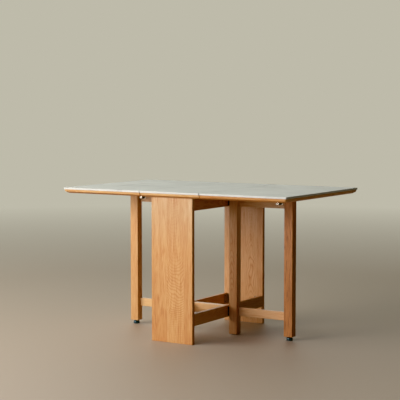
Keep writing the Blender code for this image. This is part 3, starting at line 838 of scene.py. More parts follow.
@dataclass
class TableTop:
    """The three panels of the top: stone slabs on oak boards with mitred, chamfered edges.

    The edge tones are those of the left leaf, the middle panel and the right leaf.
    """

    palette: Palette
    yard: Lumberyard
    stone_corner: float = 0.005
    stone_arris: float = 0.001
    arris_segments: int = 3
    board_corner: float = 0.008
    corner_segments: int = 6
    edge_lean: float = 0.0023
    chamfer_height: float = 0.008
    chamfer_depth: float = 0.0132
    band_height: float = 0.0019
    seam_relief: float = 0.0010
    lipping: float = 0.075
    edge_tones: tuple[float, float, float] = (-0.26, -0.30, 0.04)
    # Painted shade on the chamfer, which looks down towards the floor.
    chamfer_shade: float = 0.26

    def build(self) -> None:
        """Build the stone and the board of every panel."""
        for panel, body, outer in (("centre", "base", 0), ("right_leaf", "right_leaf", 1),
                                   ("left_leaf", "left_leaf", -1)):
            stone = self.stone(f"{panel}_stone", outer)
            add_piece(f"stone_{panel}", stone, self.palette.hard[Slot.STONE], body,
                      f"{panel}_stone")
            board = self.board(f"{panel}_board", outer)
            add_piece(f"oak_{panel}_board", board, self.palette.oak[Grain.LENGTHWISE], body,
                      f"{panel}_board", sloped_edges=True)

    def panel_box(self, node: str, outer: int) -> tuple[Vector, Vector]:
        """Find a panel's corners, drawn back a little where it meets the next panel.

        Args:
            node: the panel's stone or board.
            outer: 1 or -1 for a leaf whose outer end is at high or low X, or 0 for the middle panel.

        Returns:
            Its lowest and highest corner.
        """
        low, high = box_of(node)
        if outer <= 0:
            high.x -= self.seam_relief
        if outer >= 0:
            low.x += self.seam_relief
        return low, high

    def plate(self, low: Vector, high: Vector, corner: float, outer: int) -> bmesh.types.BMesh:
        """Lay a flat face at the low corner's height, round at the corners of its outer end.

        Args:
            low: lowest corner.
            high: highest corner; its height isn't used.
            corner: radius of the round corners.
            outer: 1 or -1 for a leaf whose outer end is at high or low X, or 0 for the middle panel.

        Returns:
            A bmesh with one face that looks up.
        """
        bm = bmesh.new()
        middle = (low + high) / 2
        middle.z = low.z
        size = high - low
        place = Matrix.Translation(middle) @ Matrix.Diagonal((size.x, size.y, 1.0, 1.0))
        bmesh.ops.create_grid(bm, x_segments=1, y_segments=1, size=0.5, matrix=place)
        if outer:
            round_off = [v for v in bm.verts if outer * (v.co.x - middle.x) > 0]
            bmesh.ops.bevel(bm, geom=round_off, offset=corner, segments=self.corner_segments, profile=0.5,
                            affect="VERTICES", clamp_overlap=True, material=-1)
        return bm

    @staticmethod
    def raise_face(bm: bmesh.types.BMesh, height: float) -> list[bmesh.types.BMVert]:
        """Extrude the highest face upwards. A face that stands alone stays below as the bottom.

        Args:
            bm: the shape so far.
            height: how far the new face is raised.

        Returns:
            The corners of the new face.
        """
        top = max(bm.faces, key=lambda face: face.calc_center_median().z)
        alone = len(bm.faces) == 1
        made = bmesh.ops.extrude_face_region(bm, geom=[top, *top.edges], use_keep_orig=alone)
        corners = [item for item in made["geom"] if isinstance(item, bmesh.types.BMVert)]
        bmesh.ops.translate(bm, vec=(0, 0, height), verts=corners)
        return corners

    def stone(self, node: str, outer: int) -> bmesh.types.BMesh:
        """Cut a stone slab with a fine round arris on both faces.

        Args:
            node: the slab's node.
            outer: which end of it is an outer end, as in panel_box.

        Returns:
            A closed bmesh.
        """
        low, high = self.panel_box(node, outer)
        bm = self.plate(low, high, self.stone_corner, outer)
        self.raise_face(bm, high.z - low.z)
        bmesh.ops.recalc_face_normals(bm, faces=bm.faces)
        rims = [e for e in bm.edges if abs(e.verts[0].co.z - e.verts[1].co.z) < MERGE_DISTANCE]
        ease(bm, rims, self.stone_arris, self.arris_segments)
        return bm

    def board(self, node: str, outer: int) -> bmesh.types.BMesh:
        """Make a board with a mitred lipping.

        Its outer edges lean in from a fine upright band under the stone to a wide chamfer.

        Args:
            node: the board's node.
            outer: which end of it is an outer end, as in panel_box.

        Returns:
            A closed bmesh with its staves marked.
        """
        low, high = self.panel_box(node, outer)
        inset = self.edge_lean + self.chamfer_depth
        inner_low, inner_high = low.copy(), high.copy()
        inner_low.y += inset
        inner_high.y -= inset
        if outer > 0:
            inner_high.x -= inset
        if outer < 0:
            inner_low.x += inset
        bm = self.plate(inner_low, inner_high, self.board_corner, outer)
        middle = (low + high) / 2
        slope_height = high.z - low.z - self.chamfer_height - self.band_height
        steps = ((self.chamfer_height, self.chamfer_depth), (slope_height, self.edge_lean),
                 (self.band_height, 0.0))
        for height, spread in steps:
            for corner in self.raise_face(bm, height):
                away = corner.co - middle
                corner.co.y += spread * math.copysign(1.0, away.y)
                if outer * away.x > 0:
                    corner.co.x += spread * outer
        bmesh.ops.recalc_face_normals(bm, faces=bm.faces)
        self.lip(bm, low, high, outer)
        return bm

    def lip(self, bm: bmesh.types.BMesh, low: Vector, high: Vector, outer: int) -> None:
        """Split a board into its lippings and its middle, and give each its own heart and direction.

        Args:
            bm: the board.
            low: its lowest corner.
            high: its highest corner.
            outer: which end of it is an outer end, as in panel_box.
        """
        front, rear = low.y + self.lipping, high.y - self.lipping
        end = high.x if outer > 0 else low.x
        split_at(bm, (0, front, 0), (0, 1, 0))
        split_at(bm, (0, rear, 0), (0, 1, 0))
        if outer:
            split_at(bm, (end - outer * self.lipping, 0, 0), (1, 0, 0))
            split_at(bm, (end, low.y, 0), (outer, 1, 0))
            split_at(bm, (end, high.y, 0), (outer, -1, 0))
        middle = (low + high) / 2
        grain = Grain.LENGTHWISE
        staves = {part: self.yard.stave(middle, grain) for part in ("front", "rear", "end", "middle")}

        def on_end(point: Vector) -> bool:
            """Return whether a point is on the lipping of the outer end."""
            depth = outer * (end - point.x)
            return bool(outer) and depth < self.lipping and depth < min(point.y - low.y, high.y - point.y)

        def tone_at(point: Vector) -> float:
            """Find how much darker the edge is, and the painted shade of the chamfer, which looks down.

            Args:
                point: the middle of a face.

            Returns:
                What is added to the tone of its stave.
            """
            if not low.z + MERGE_DISTANCE < point.z < high.z - MERGE_DISTANCE:
                return 0.0
            above = point.z > low.z + self.chamfer_height
            # The chamfer's darker tone is painted shade.
            return self.edge_tones[outer + 1] if above else self.chamfer_shade

        def stave_at(point: Vector) -> Stave:
            """Pick the lipping or the middle of the board.

            Args:
                point: the middle of a face.

            Returns:
                Its stave.
            """
            part = "end" if on_end(point) else "front" if point.y < front else "rear"
            if part == "rear" and point.y < rear:
                part = "middle"
            stave = staves[part]
            return replace(stave, tone=stave.tone + tone_at(point))

        mark_turns(bm, on_end)
        mark_staves(bm, stave_at)


@dataclass(frozen=True)
class Look:
    """How one oak stick looks: its tone, how much that grows in a metre along the grain, which on some
    sticks is painted shade, and its hue, which on some sticks is painted colour of the light in shade.
    """

    tone: float = 0.0
    fade: float = 0.0
    tint: Tint = Tint.PLAIN


@dataclass
class OakStick:
    """A square-cut oak piece with rounded edges that stands for one node."""

    node: str
    body: str
    grain: Grain
    tenon: float
    look: Look
    rounding: float = 0.0022
    segments: int = 4

    def build(self, palette: Palette, yard: Lumberyard) -> None:
        """Build the stick between its shoulders, without the tenons that its joints hide.

        Args:
            palette: the finishes.
            yard: picks the heart of its stave.
        """
        low, high = box_of(self.node)
        along = self.grain.value[2]
        low[along] += self.tenon
        high[along] -= self.tenon
        bm = block(low, high)
        ease(bm, bm.edges[:], self.rounding, self.segments)
        stave = yard.stave((low + high) / 2, self.grain, self.look.tone)
        stave = replace(stave, fade=self.look.fade, tint=self.look.tint)
        mark_staves(bm, lambda point: stave)
        add_piece("oak_" + self.node, bm, palette.oak[self.grain], self.body, self.node)


@dataclass(frozen=True)
class Plank:
    """One stave of a slab leg: its right-hand edge, how it was sawn, its tone, how much that grows in a
    metre along the grain as tone and painted shade, and its figure.
    """

    edge: float
    sawn: Sawn
    tone: float
    fade: float = 0.0
    figure: float = 1.0


@dataclass
class SlabLeg:
    """A wide leg, glued up from upright planks. The arch level is where its arched figure is centred."""

    end: str
    planks: tuple[Plank, ...]
    arch_level: float
    tint: Tint
    painted_sheen: float = 1.0
    side_shade: float = 0.22
    rounding: float = 0.0022
    foot_round: float = 0.0034
    segments: int = 4

    def build(self, palette: Palette, yard: Lumberyard) -> None:
        """Build the slab and give every plank its own heart.

        Args:
            palette: the finishes.
            yard: picks the heart of each plank.
        """
        node = f"{self.end}_slab"
        low, high = box_of(node)
        bm = block(low, high)
        ground = self.ground_edges(bm, low.z)
        ease(bm, [e for e in bm.edges if e not in ground], self.rounding, self.segments)
        ease(bm, self.ground_edges(bm, low.z), self.foot_round, self.segments)
        middle = (low + high) / 2
        middle.z = self.arch_level
        start = low.x
        cut = []
        for plank in self.planks:
            middle.x = (start + plank.edge) / 2
            stave = yard.stave(middle, Grain.UPRIGHT, plank.tone, plank.sawn)
            cut.append((plank.edge, replace(stave, fade=plank.fade, painted_sheen=self.painted_sheen,
                                            figure=plank.figure, tint=self.tint)))
            split_at(bm, (plank.edge, 0, 0), (1, 0, 0))
            start = plank.edge

        def stave_at(point: Vector) -> Stave:
            """Pick a plank, with painted shade on the sides of the slab.

            Args:
                point: the middle of a face.

            Returns:
                Its stave.
            """
            stave = next(stave for edge, stave in cut if point.x < edge + MERGE_DISTANCE)
            on_side = min(point.x - low.x, high.x - point.x) < MERGE_DISTANCE
            # Painted shade: the sides of the slab are darkened.
            return replace(stave, tone=stave.tone + self.side_shade * on_side)

        mark_staves(bm, stave_at)
        add_piece("oak_" + node, bm, palette.oak[Grain.UPRIGHT], "base", node)

    @staticmethod
    def ground_edges(bm: bmesh.types.BMesh, ground: float) -> list[bmesh.types.BMEdge]:
        """Return the edges that lie on the ground."""
        return [e for e in bm.edges if all(v.co.z < ground + MERGE_DISTANCE for v in e.verts)]


@dataclass
class Screws:
    """Cross-head screws, joined into one piece for each plate that they hold.

    The dome is given in shares of the head's radius and rise, and the turn is between one screw's cross and
    the next one's.
    """

    radius: float = 0.0032
    rise: float = 0.0007
    skirt: float = 0.0006
    skirt_share: float = 0.8
    dome: tuple[Span, ...] = ((1.0, 0.0), (0.97, 0.35), (0.7, 0.8), (0.0, 1.0))
    steps: int = 16
    cross_arm: float = 0.55
    cross_width: float = 0.13
    cross_depth: float = 0.8
    turn: float = 1.9

    def head(self) -> bpy.types.Mesh:
        """Make one head that looks up, with a cross sunk into its dome.

        Returns:
            Its mesh.
        """
        profile = [(0.0, -self.skirt), (self.skirt_share * self.radius, -self.skirt)]
        profile += [(across * self.radius, upwards * self.rise) for across, upwards in self.dome]
        bm = lathe(profile, Vector((0, 0, 0)), self.steps)
        arm, half = self.cross_arm * self.radius, self.cross_width * self.radius
        for reach in (arm, half, -half, -arm):
            split_at(bm, (reach, 0, 0), (1, 0, 0))
            split_at(bm, (0, reach, 0), (0, 1, 0))

        def in_cross(face: bmesh.types.BMFace) -> bool:
            """Tell the cross from the rest of the head.

            Args:
                face: a face of the head.

            Returns:
                Whether it lies in the cross.
            """
            middle = face.calc_center_median()
            near, far = sorted((abs(middle.x), abs(middle.y)))
            return middle.z > 0 and near < half and far < arm

        region = [face for face in bm.faces if in_cross(face)]
        made = bmesh.ops.extrude_face_region(bm, geom=region)
        corners = [item for item in made["geom"] if isinstance(item, bmesh.types.BMVert)]
        bmesh.ops.translate(bm, vec=(0, 0, -self.cross_depth * self.rise), verts=corners)
        bmesh.ops.delete(bm, geom=region, context="FACES")
        bmesh.ops.recalc_face_normals(bm, faces=bm.faces)
        mesh = bpy.data.meshes.new("screw_head")
        bm.to_mesh(mesh)
        bm.free()
        return mesh

    def drive(self, name: str, places: Iterable[Vector], way: Vector, material: bpy.types.Material,
              slot: Slot, body: str) -> None:
        """Drive screws into a face.

        Args:
            name: the name of the piece that holds them all.
            places: where each head meets the face.
            way: the way that the heads look.
            material: their finish.
            slot: the record's slot for it; not used.
            body: the body that carries them.
        """
        head = self.head()
        bm = bmesh.new()
        upright = way.to_track_quat("Z", "Y").to_matrix().to_4x4()
        for number, place in enumerate(places):
            first = len(bm.verts)
            bm.from_mesh(head)
            bm.verts.ensure_lookup_table()
            matrix = Matrix.Translation(place) @ upright @ Matrix.Rotation(self.turn * number, 4, "Z")
            bmesh.ops.transform(bm, matrix=matrix, verts=bm.verts[first:])
        bpy.data.meshes.remove(head)
        add_piece(name, bm, material, body)


@dataclass
class Hinges:
    """The hinges of the leaves and of the gates: black plates and pins, and the screws that hold them."""

    palette: Palette
    screws: Screws
    sheet: float = 0.0009
    leaf_rows: tuple[float, ...] = (-0.021, 0.0, 0.021)
    gate_rows: tuple[float, ...] = (-0.014, 0.014)
    near_line: float = 0.012
    far_line: float = 0.023

    def build(self, frame: dict) -> None:
        """Finish the plates and pins, and drive the screws.
        """
        steel = self.palette.hard[Slot.BLACK_STEEL]
        for node, item in frame["nodes"].items():
            if "_hinge_" in node:
                dress(item, steel)
        for word, side in SIDES.items():
            for end in ENDS:
                name = f"{word}_leaf_hinge_{end}"
                self.leaf_screws(f"{name}_fixed", -side, "base")
                self.leaf_screws(f"{name}_leaf", side, f"{word}_leaf")
            for level in ("upper", "lower"):
                name = f"{word}_gate_hinge_{level}"
                self.gate_screws(f"{name}_frame", side, "base")
                self.gate_screws(f"{name}_post", -side, f"{word}_gate")

    def lines(self, rows: Sequence[float]) -> list[Span]:
        """Return each row of a plate with the line that its screw stands on, in zigzag."""
        pair = (self.near_line, self.far_line)
        return [(row, pair[number % 2]) for number, row in enumerate(rows)]

    def leaf_screws(self, name: str, way: int, body: str) -> None:
        """Drive the screws of a plate under the top.

        Args:
            name: the plate's name, without its last word.
            way: the X direction in which the plate runs from its pin.
            body: the body that carries it.
        """
        low, high = box_of(f"{name}_plate")
        pin = low.x if way > 0 else high.x
        middle = (low.y + high.y) / 2
        face = high.z - self.sheet
        places = [Vector((pin + way * line, middle + row, face))
                  for row, line in self.lines(self.leaf_rows)]
        self.screws.drive(f"{name}_screws", places, Vector((0, 0, -1)),
                          self.palette.hard[Slot.BLACK_STEEL], Slot.BLACK_STEEL, body)

    def gate_screws(self, name: str, way: int, body: str) -> None:
        """Drive the screws of an upright plate.

        Args:
            name: the plate's name, without its last word.
            way: the X direction in which the heads look.
            body: the body that carries it.
        """
        low, high = box_of(f"{name}_plate")
        face = low.x + self.sheet if way > 0 else high.x - self.sheet
        middle = (low.z + high.z) / 2
        places = [Vector((face, low.y + line, middle + row)) for row, line in self.lines(self.gate_rows)]
        self.screws.drive(f"{name}_screws", places, Vector((way, 0, 0)),
                          self.palette.hard[Slot.BLACK_STEEL], Slot.BLACK_STEEL, body)


@dataclass
class LevellingFoot:
    """A glossy domed foot under the leg of a gate, with a hexagonal nut to turn it by."""

    word: str
    top_radius: float = 0.0115
    pad_height: float = 0.0165
    dome: float = 0.009
    dome_steps: int = 10
    edge: float = 0.002
    edge_curve: tuple[Span, ...] = ((1.0, 0.0), (0.6, 0.15), (0.2, 0.5), (0.0, 1.0))
    steps: int = 48
    nut_flats: float = 0.0072
    nut_edge: float = 0.0004
    nut_segments: int = 2
    nut_sink: float = 0.0006
    nut_gap: float = 0.0004

    def build(self, palette: Palette) -> None:
        """Build the foot's pad and its nut.

        Args:
            palette: the finishes.
        """
        node = f"{self.word}_foot"
        body = f"{self.word}_leveller"
        low, high = box_of(node)
        axis = Vector(((low.x + high.x) / 2, (low.y + high.y) / 2, low.z))
        radius = (high.x - low.x) / 2
        profile = eased_bottom(radius, self.edge, self.edge_curve)
        for number in range(self.dome_steps + 1):
            angle = math.pi / 2 * number / self.dome_steps
            across = self.top_radius + (radius - self.top_radius) * math.cos(angle)
            profile.append((across, self.pad_height - self.dome * (1 - math.sin(angle))))
        profile.append((0.0, self.pad_height))
        add_piece(f"{node}_pad", lathe(profile, axis, self.steps), palette.foot_gloss,
                  body, node)
        flange_low, _ = box_of(f"{self.word}_foot_insert")
        nut = self.nut(axis, self.pad_height - self.nut_sink, flange_low.z - self.nut_gap)
        add_piece(f"{node}_nut", nut, palette.hard[Slot.BLACK_STEEL], body)

    def nut(self, axis: Vector, bottom: float, top: float) -> bmesh.types.BMesh:
        """Make a hexagonal nut with its corners eased.

        Args:
            axis: a point on its axis.
            bottom: the height of its lower face.
            top: the height of its upper face.

        Returns:
            A closed bmesh.
        """
        bm = bmesh.new()
        radius = self.nut_flats / math.cos(math.pi / 6)
        place = Matrix.Translation((axis.x, axis.y, (bottom + top) / 2))
        bmesh.ops.create_cone(bm, cap_ends=True, segments=6, radius1=radius, radius2=radius,
                              depth=top - bottom, matrix=place)
        ease(bm, bm.edges[:], self.nut_edge, self.nut_segments)
        return bm


@dataclass
class Catch:
    """A magnetic catch on a gate's upper rail: bright plate, black housing and bright crowned face.

    A crowned plate is pressed flat from a block that is a few times as thick as its crown is wide.
    """

    word: str
    block_half: float = 0.009
    rounding: float = 0.0008
    segments: int = 3
    ear_depth: float = 0.004
    ear_corner: float = 0.003
    ear_crown: float = 0.0055
    face_sheet: float = 0.0014
    face_margin: float = 0.0014
    face_corner: float = 0.00175
    face_crown: float = 0.0035
    corner_segments: int = 5
    crown_segments: int = 8
    blank_thickness: float = 3.0
    screw_offset: float = 0.0152

    def build(self, palette: Palette, screws: Screws) -> None:
        """Build the back plate, the housing, its crowned face and the screws.

        Args:
            palette: the finishes.
            screws: the screws that hold the back plate.
        """
        node = f"{self.word}_gate_catch"
        body = f"{self.word}_gate"
        low, high = box_of(node)
        middle = (low + high) / 2
        bright = palette.nickel
        ear_face = high.y - self.ear_depth
        back = self.crowned(Vector((low.x, ear_face, low.z)), high, self.ear_corner, self.ear_crown)
        add_piece(f"{node}_back", back, bright, body)
        block_low = Vector((middle.x - self.block_half, low.y + self.face_sheet / 2, low.z))
        block_high = Vector((middle.x + self.block_half, ear_face + self.rounding, high.z))
        housing = block(block_low, block_high)
        ease(housing, housing.edges[:], self.rounding, self.segments)
        add_piece(f"{node}_housing", housing, palette.hard[Slot.BLACK_PLASTIC], body,
                  node)
        margin = Vector((self.face_margin, 0.0, self.face_margin))
        face_low, face_high = block_low + margin, block_high - margin
        face_low.y, face_high.y = low.y, low.y + self.face_sheet
        face = self.crowned(face_low, face_high, self.face_corner, self.face_crown)
        add_piece(f"{node}_face", face, bright, body)
        places = [Vector((middle.x + way * self.screw_offset, ear_face, middle.z)) for way in (-1, 1)]
        screws.drive(f"{node}_screws", places, Vector((0, -1, 0)), bright, Slot.BRIGHT_STEEL, body)

    def crowned(self, low: Vector, high: Vector, corner: float, crown: float) -> bmesh.types.BMesh:
        """Make a plate that looks to -Y, crowned by rounding a thick block and pressing it flat.

        Args:
            low: its lowest corner.
            high: its highest corner.
            corner: radius of its four corners.
            crown: how far the crown reaches in from the rim.

        Returns:
            A closed bmesh.
        """
        depth = self.blank_thickness * crown
        bm = block(Vector((low.x, high.y - depth, low.z)), high)
        corners = [e for e in bm.edges if abs(e.verts[0].co.y - e.verts[1].co.y) > MERGE_DISTANCE]
        ease(bm, corners, corner, self.corner_segments)
        rim = [e for e in bm.edges if all(v.co.y < high.y - depth + MERGE_DISTANCE for v in e.verts)]
        ease(bm, rim, crown, self.crown_segments)
        flat = Matrix.Diagonal((1.0, (high.y - low.y) / depth, 1.0, 1.0))
        bmesh.ops.transform(bm, matrix=flat, space=Matrix.Translation(-high), verts=bm.verts)
        return bm


# On the right gate the ramps along the grain are painted shade: the leg darker towards its top under the
# table, the post darker towards its foot, and the upper rail darker towards the post. The bluish tint on
# the right post and on the upper rails paints the bluish light that they get in shade.
GATE_LOOKS: dict[str, dict[str, Look]] = {
    "right": {"post": Look(0.02, -0.35, Tint.GREYED), "leg": Look(0.39, 0.15),
              "upper_rail": Look(-0.20, -0.6, Tint.GREYED), "lower_rail": Look(-0.42, 0.0, Tint.PINK)},
    "left": {"post": Look(), "leg": Look(-0.11),
             "upper_rail": Look(-0.10, 0.0, Tint.GREYED), "lower_rail": Look(-0.50)},
}


@dataclass
class Gate:
    """One gate: four oak sticks, a glide, a levelling foot, a support pad and a catch."""

    word: str
    tenon: float = 0.025
    glide_edge: float = 0.0009
    glide_curve: tuple[Span, ...] = ((1.0, 0.0), (0.3, 0.3), (0.0, 1.0))
    glide_gap: float = 0.0003
    glide_steps: int = 40
    pad_corner: float = 0.005
    pad_corner_segments: int = 6
    pad_rim: float = 0.001
    pad_rim_segments: int = 3

    def build(self, palette: Palette, yard: Lumberyard, screws: Screws) -> None:
        """Build the gate.

        Args:
            palette: the finishes.
            yard: picks the hearts of its sticks.
            screws: the catch's screws.
        """
        body = f"{self.word}_gate"
        for part, look in GATE_LOOKS[self.word].items():
            lying = part.endswith("rail")
            grain = Grain.LENGTHWISE if lying else Grain.UPRIGHT
            tenon = self.tenon if lying else 0.0
            OakStick(f"{body}_{part}", body, grain, tenon, look).build(palette, yard)
        self.glide(palette, body)
        self.support_pad(palette, body)
        LevellingFoot(self.word).build(palette)
        Catch(self.word).build(palette, screws)

    def glide(self, palette: Palette, body: str) -> None:
        """Build the round glide under the post.

        Args:
            palette: the finishes.
            body: the gate's body.
        """
        node = f"{self.word}_post_glide"
        low, high = box_of(node)
        post_low, _ = box_of(f"{body}_post")
        radius = (high.x - low.x) / 2
        top = post_low.z - self.glide_gap
        profile = eased_bottom(radius, self.glide_edge, self.glide_curve)
        profile += [(radius, top), (0.0, top)]
        axis = Vector(((low.x + high.x) / 2, (low.y + high.y) / 2, low.z))
        add_piece(f"{node}_disc", lathe(profile, axis, self.glide_steps), palette.hard[Slot.NYLON],
                  body, node)

    def support_pad(self, palette: Palette, body: str) -> None:
        """Build the pad that carries the leaf, round at its corners and along its rim.

        Args:
            palette: the finishes.
            body: the gate's body.
        """
        node = f"{self.word}_support_pad"
        low, high = box_of(node)
        bm = block(low, high)
        corners = [e for e in bm.edges if abs(e.verts[0].co.z - e.verts[1].co.z) > MERGE_DISTANCE]
        ease(bm, corners, self.pad_corner, self.pad_corner_segments)
        rim = [e for e in bm.edges if all(abs(v.co.z - high.z) < MERGE_DISTANCE for v in e.verts)]
        ease(bm, rim, self.pad_rim, self.pad_rim_segments)
        add_piece(f"{node}_block", bm, palette.hard[Slot.NYLON], body, node)


@dataclass
class FixedFrame:
    """The slab legs, the rails that tie them together under the middle panel, and their brackets."""

    palette: Palette
    yard: Lumberyard
    screws: Screws
    front_planks: tuple[Plank, ...] = (Plank(-0.030, Sawn.STRAIGHT, 0.05, -0.32),
                                       Plank(0.069, Sawn.ARCHED_FRONT, -0.045, 0.08),
                                       Plank(0.120, Sawn.STRAIGHT, 0.06, -0.36))
    rear_planks: tuple[Plank, ...] = (Plank(0.018, Sawn.STRAIGHT, -0.22),
                                      Plank(0.086, Sawn.ARCHED_REAR, -0.20, figure=2.0),
                                      Plank(0.120, Sawn.STRAIGHT, -0.16))
    front_arch: float = 0.255
    rear_arch: float = 0.30
    slab_tenon: float = 0.010
    # The aprons' darker tone and bluish tint are painted shade, as they stand in shade under the top.
    apron: Look = Look(0.32, tint=Tint.GREYED)
    stretcher: Look = Look()
    cross_tenon: float = 0.008
    upper_cross: Look = Look(tint=Tint.PALE_PINK)
    lower_cross: Look = Look(-0.55, tint=Tint.PALE_PINK)
    bracket_sheet: float = 0.0025
    bracket_inset: float = 0.010
    bracket_rise: float = 0.016

    def build(self, frame: dict) -> None:
        """Build the slabs, aprons, stretchers and cross rails, and fix the brackets.
        """
        SlabLeg("front", self.front_planks, self.front_arch, Tint.WARM).build(self.palette, self.yard)
        SlabLeg("rear", self.rear_planks, self.rear_arch, Tint.PINK).build(self.palette, self.yard)
        for word in SIDES:
            for part, look in (("apron", self.apron), ("stretcher", self.stretcher)):
                stick = OakStick(f"{word}_{part}", "base", Grain.CROSSWISE, self.slab_tenon, look)
                stick.build(self.palette, self.yard)
        for level, look in (("upper", self.upper_cross), ("lower", self.lower_cross)):
            stick = OakStick(f"{level}_cross_rail", "base", Grain.LENGTHWISE, self.cross_tenon, look)
            stick.build(self.palette, self.yard)
        for end, way in ENDS.items():
            for word, side in SIDES.items():
                self.bracket(frame, f"{end}_{word}_bracket", way, side)

    def bracket(self, frame: dict, node: str, way: int, side: int) -> None:
        """Finish a bracket and drive two screws through each of its arms.

        Args:
            node: the bracket's name.
            way: 1 for the rear end of the table, -1 for its front.
            side: 1 for the right-hand side, -1 for the left.
        """
        dress(frame["nodes"][node], self.palette.bronzed_steel)
        low, high = box_of(node)
        middle = (low + high) / 2
        half = (high - low) / 2
        rail_face = middle.x + side * (half.x - self.bracket_sheet)
        slab_face = middle.y + way * (half.y - self.bracket_sheet)
        rail_line = middle.y - way * (half.y - self.bracket_inset)
        slab_line = middle.x - side * (half.x - self.bracket_inset)
        levels = [middle.z + step * self.bracket_rise for step in (-1, 1)]
        steel = self.palette.hard[Slot.BLACK_STEEL]
        self.screws.drive(f"{node}_rail_screws", [Vector((rail_face, rail_line, z)) for z in levels],
                          Vector((-side, 0, 0)), steel, Slot.BLACK_STEEL, "base")
        self.screws.drive(f"{node}_slab_screws", [Vector((slab_line, slab_face, z)) for z in levels],
                          Vector((0, -way, 0)), steel, Slot.BLACK_STEEL, "base")


@dataclass(frozen=True)
class Lamp:
    """A soft lamp: where it hangs, the point that it faces, its width and height, watts and colour."""

    name: str
    place: Place
    aim: Place
    size: Span
    power: float
    colour: Colour

    def hang(self) -> None:
        """Hang the lamp."""
        light = bpy.data.lights.new(self.name, "AREA")
        light.shape = "RECTANGLE"
        light.size, light.size_y = self.size
        light.energy = self.power
        light.color = self.colour
        lamp = bpy.data.objects.new(self.name, light)
        lamp.location = self.place
        lamp.rotation_euler = (Vector(self.aim) - Vector(self.place)).to_track_quat("-Z", "Y").to_euler()
        bpy.context.scene.collection.objects.link(lamp)


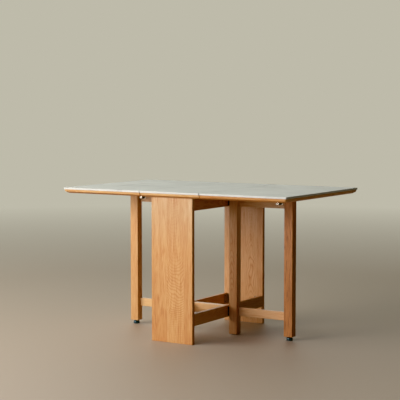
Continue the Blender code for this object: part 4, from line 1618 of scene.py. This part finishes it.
@dataclass
class Studio:
    """A plain pale floor, soft light from the front left, and the camera of the photograph.

    The floor melts into the wall between two distances from the table. The wall's light fades to the right
    and grows stronger to the rear, both by the direction that it comes from.
    """

    photo_size: float = 400.0
    focal_pixels: float = 1238.3
    sensor: float = 36.0
    camera_place: Place = (3.3218, -5.4309, 1.1803)
    camera_tilt: float = 0.0776
    camera_turn: float = 0.5573
    floor_reach: float = 40.0
    floor_colour: Colour = (0.50, 0.41, 0.315)
    floor_roughness: float = 0.6
    floor_melt: Remap = (2.4, 8.0, 0.0, 1.0)
    wall_colour: Colour = (0.515, 0.495, 0.395)
    shade_colour: Colour = (0.028, 0.020, 0.014)
    shade_rise: Remap = (-0.52, 0.03, 1.0, 0.0)
    glow_colour: Colour = (1.21, 1.24, 1.07)
    glow_rise: Remap = (0.0, 0.7, 0.0, 1.0)
    key: Lamp = Lamp("key", (-2.90, -3.73, 1.98), (0.0, 0.0, 0.45), (4.86, 2.43), 242.0, (1.0, 0.965, 0.91))
    fill: Lamp = Lamp("fill", (0.02, -3.80, 1.75), (0.12, 0.0, 0.40), (0.5, 0.8), 12.0, (0.99, 0.955, 1.32))
    toe: tuple[Span, ...] = ((0.010, 0.005), (0.034, 0.025), (0.085, 0.078), (0.2, 0.197))
    blue_toe: tuple[Span, ...] = ((0.006, 0.0028), (0.02, 0.014), (0.05, 0.046), (0.1, 0.1))

    def build(self) -> None:
        """Set the stage."""
        self.floor()
        self.world()
        self.key.hang()
        self.fill.hang()
        self.camera()
        self.tone_curve()

    def floor(self) -> None:
        """Lay the floor."""
        bm = bmesh.new()
        bmesh.ops.create_grid(bm, x_segments=1, y_segments=1, size=self.floor_reach)
        mesh = bpy.data.meshes.new("floor")
        bm.to_mesh(mesh)
        bm.free()
        mesh.materials.append(self.floor_material())
        floor = bpy.data.objects.new("floor", mesh)
        bpy.context.scene.collection.objects.link(floor)

    def floor_material(self) -> bpy.types.Material:
        """Mix a plain floor that melts into the wall far from the table.

        Returns:
            The material.
        """
        graph = Graph.of_material("pale_floor")
        x, y, _ = graph.split(graph.object_place())
        reach = graph.math("SQRT", graph.math("MULTIPLY_ADD", x, x, graph.math("MULTIPLY", y, y)))
        far = graph.remap(reach, *self.floor_melt)
        seen = graph.node("LightPath", {}).outputs["Is Camera Ray"]
        glow = graph.node("Emission", {"Color": (*self.wall_colour, 1.0)})
        blend = graph.node("MixShader", {0: graph.math("MULTIPLY", far, seen)})
        graph.feed(blend.inputs[1], graph.shader.outputs[0])
        graph.feed(blend.inputs[2], glow.outputs[0])
        graph.feed(graph.tree.nodes["Material Output"].inputs["Surface"], blend.outputs[0])
        return graph.finish((*self.floor_colour, 1.0), self.floor_roughness)

    def world(self) -> None:
        """Make the room: a pale wall to look at, whose light is strong behind and fades to the right."""
        graph = Graph.of_world("room")
        x, y, _ = graph.split(graph.node("TexCoord", {}).outputs["Generated"])
        seen = graph.node("LightPath", {}).outputs["Is Camera Ray"]
        wall = (*self.wall_colour, 1.0)
        behind = graph.mix(graph.remap(y, *self.glow_rise), wall, (*self.glow_colour, 1.0))
        light = graph.mix(graph.remap(x, *self.shade_rise), (*self.shade_colour, 1.0), behind)
        graph.feed(graph.shader.inputs["Color"], graph.mix(seen, light, wall))
        bpy.context.scene.world = graph.owner

    def camera(self) -> None:
        """Stand the camera where the photograph was taken."""
        lens = bpy.data.cameras.new("camera")
        lens.sensor_width = self.sensor
        lens.lens = self.focal_pixels * self.sensor / self.photo_size
        camera = bpy.data.objects.new("camera", lens)
        camera.location = self.camera_place
        camera.rotation_euler = (math.pi / 2 - self.camera_tilt, 0.0, self.camera_turn)
        bpy.context.scene.collection.objects.link(camera)
        bpy.context.scene.camera = camera

    def tone_curve(self) -> None:
        """Set the picture's contrast, with a soft toe in the shadows."""
        view = bpy.context.scene.view_settings
        view.view_transform = "Standard"
        view.use_curve_mapping = True
        for curve, points in ((Curve.COMBINED, self.toe), (Curve.BLUE, self.blue_toe)):
            for point in points:
                view.curve_mapping.curves[curve.value].points.new(*point)
        view.curve_mapping.update()


def main() -> None:
    """Dress the frame, piece by piece."""
    logging.basicConfig(level=logging.INFO, format="%(name)s: %(message)s")
    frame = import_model()
    palette = Palette()
    yard = Lumberyard()
    screws = Screws()
    Studio().build()
    TableTop(palette, yard).build()
    FixedFrame(palette, yard, screws).build(frame)
    for word in SIDES:
        Gate(word).build(palette, yard, screws)
    Hinges(palette, screws).build(frame)
    for word in SIDES:
        dress(frame["nodes"][f"{word}_foot_insert"], palette.hard[Slot.BRIGHT_STEEL])


if __name__ == "__main__":
    main()
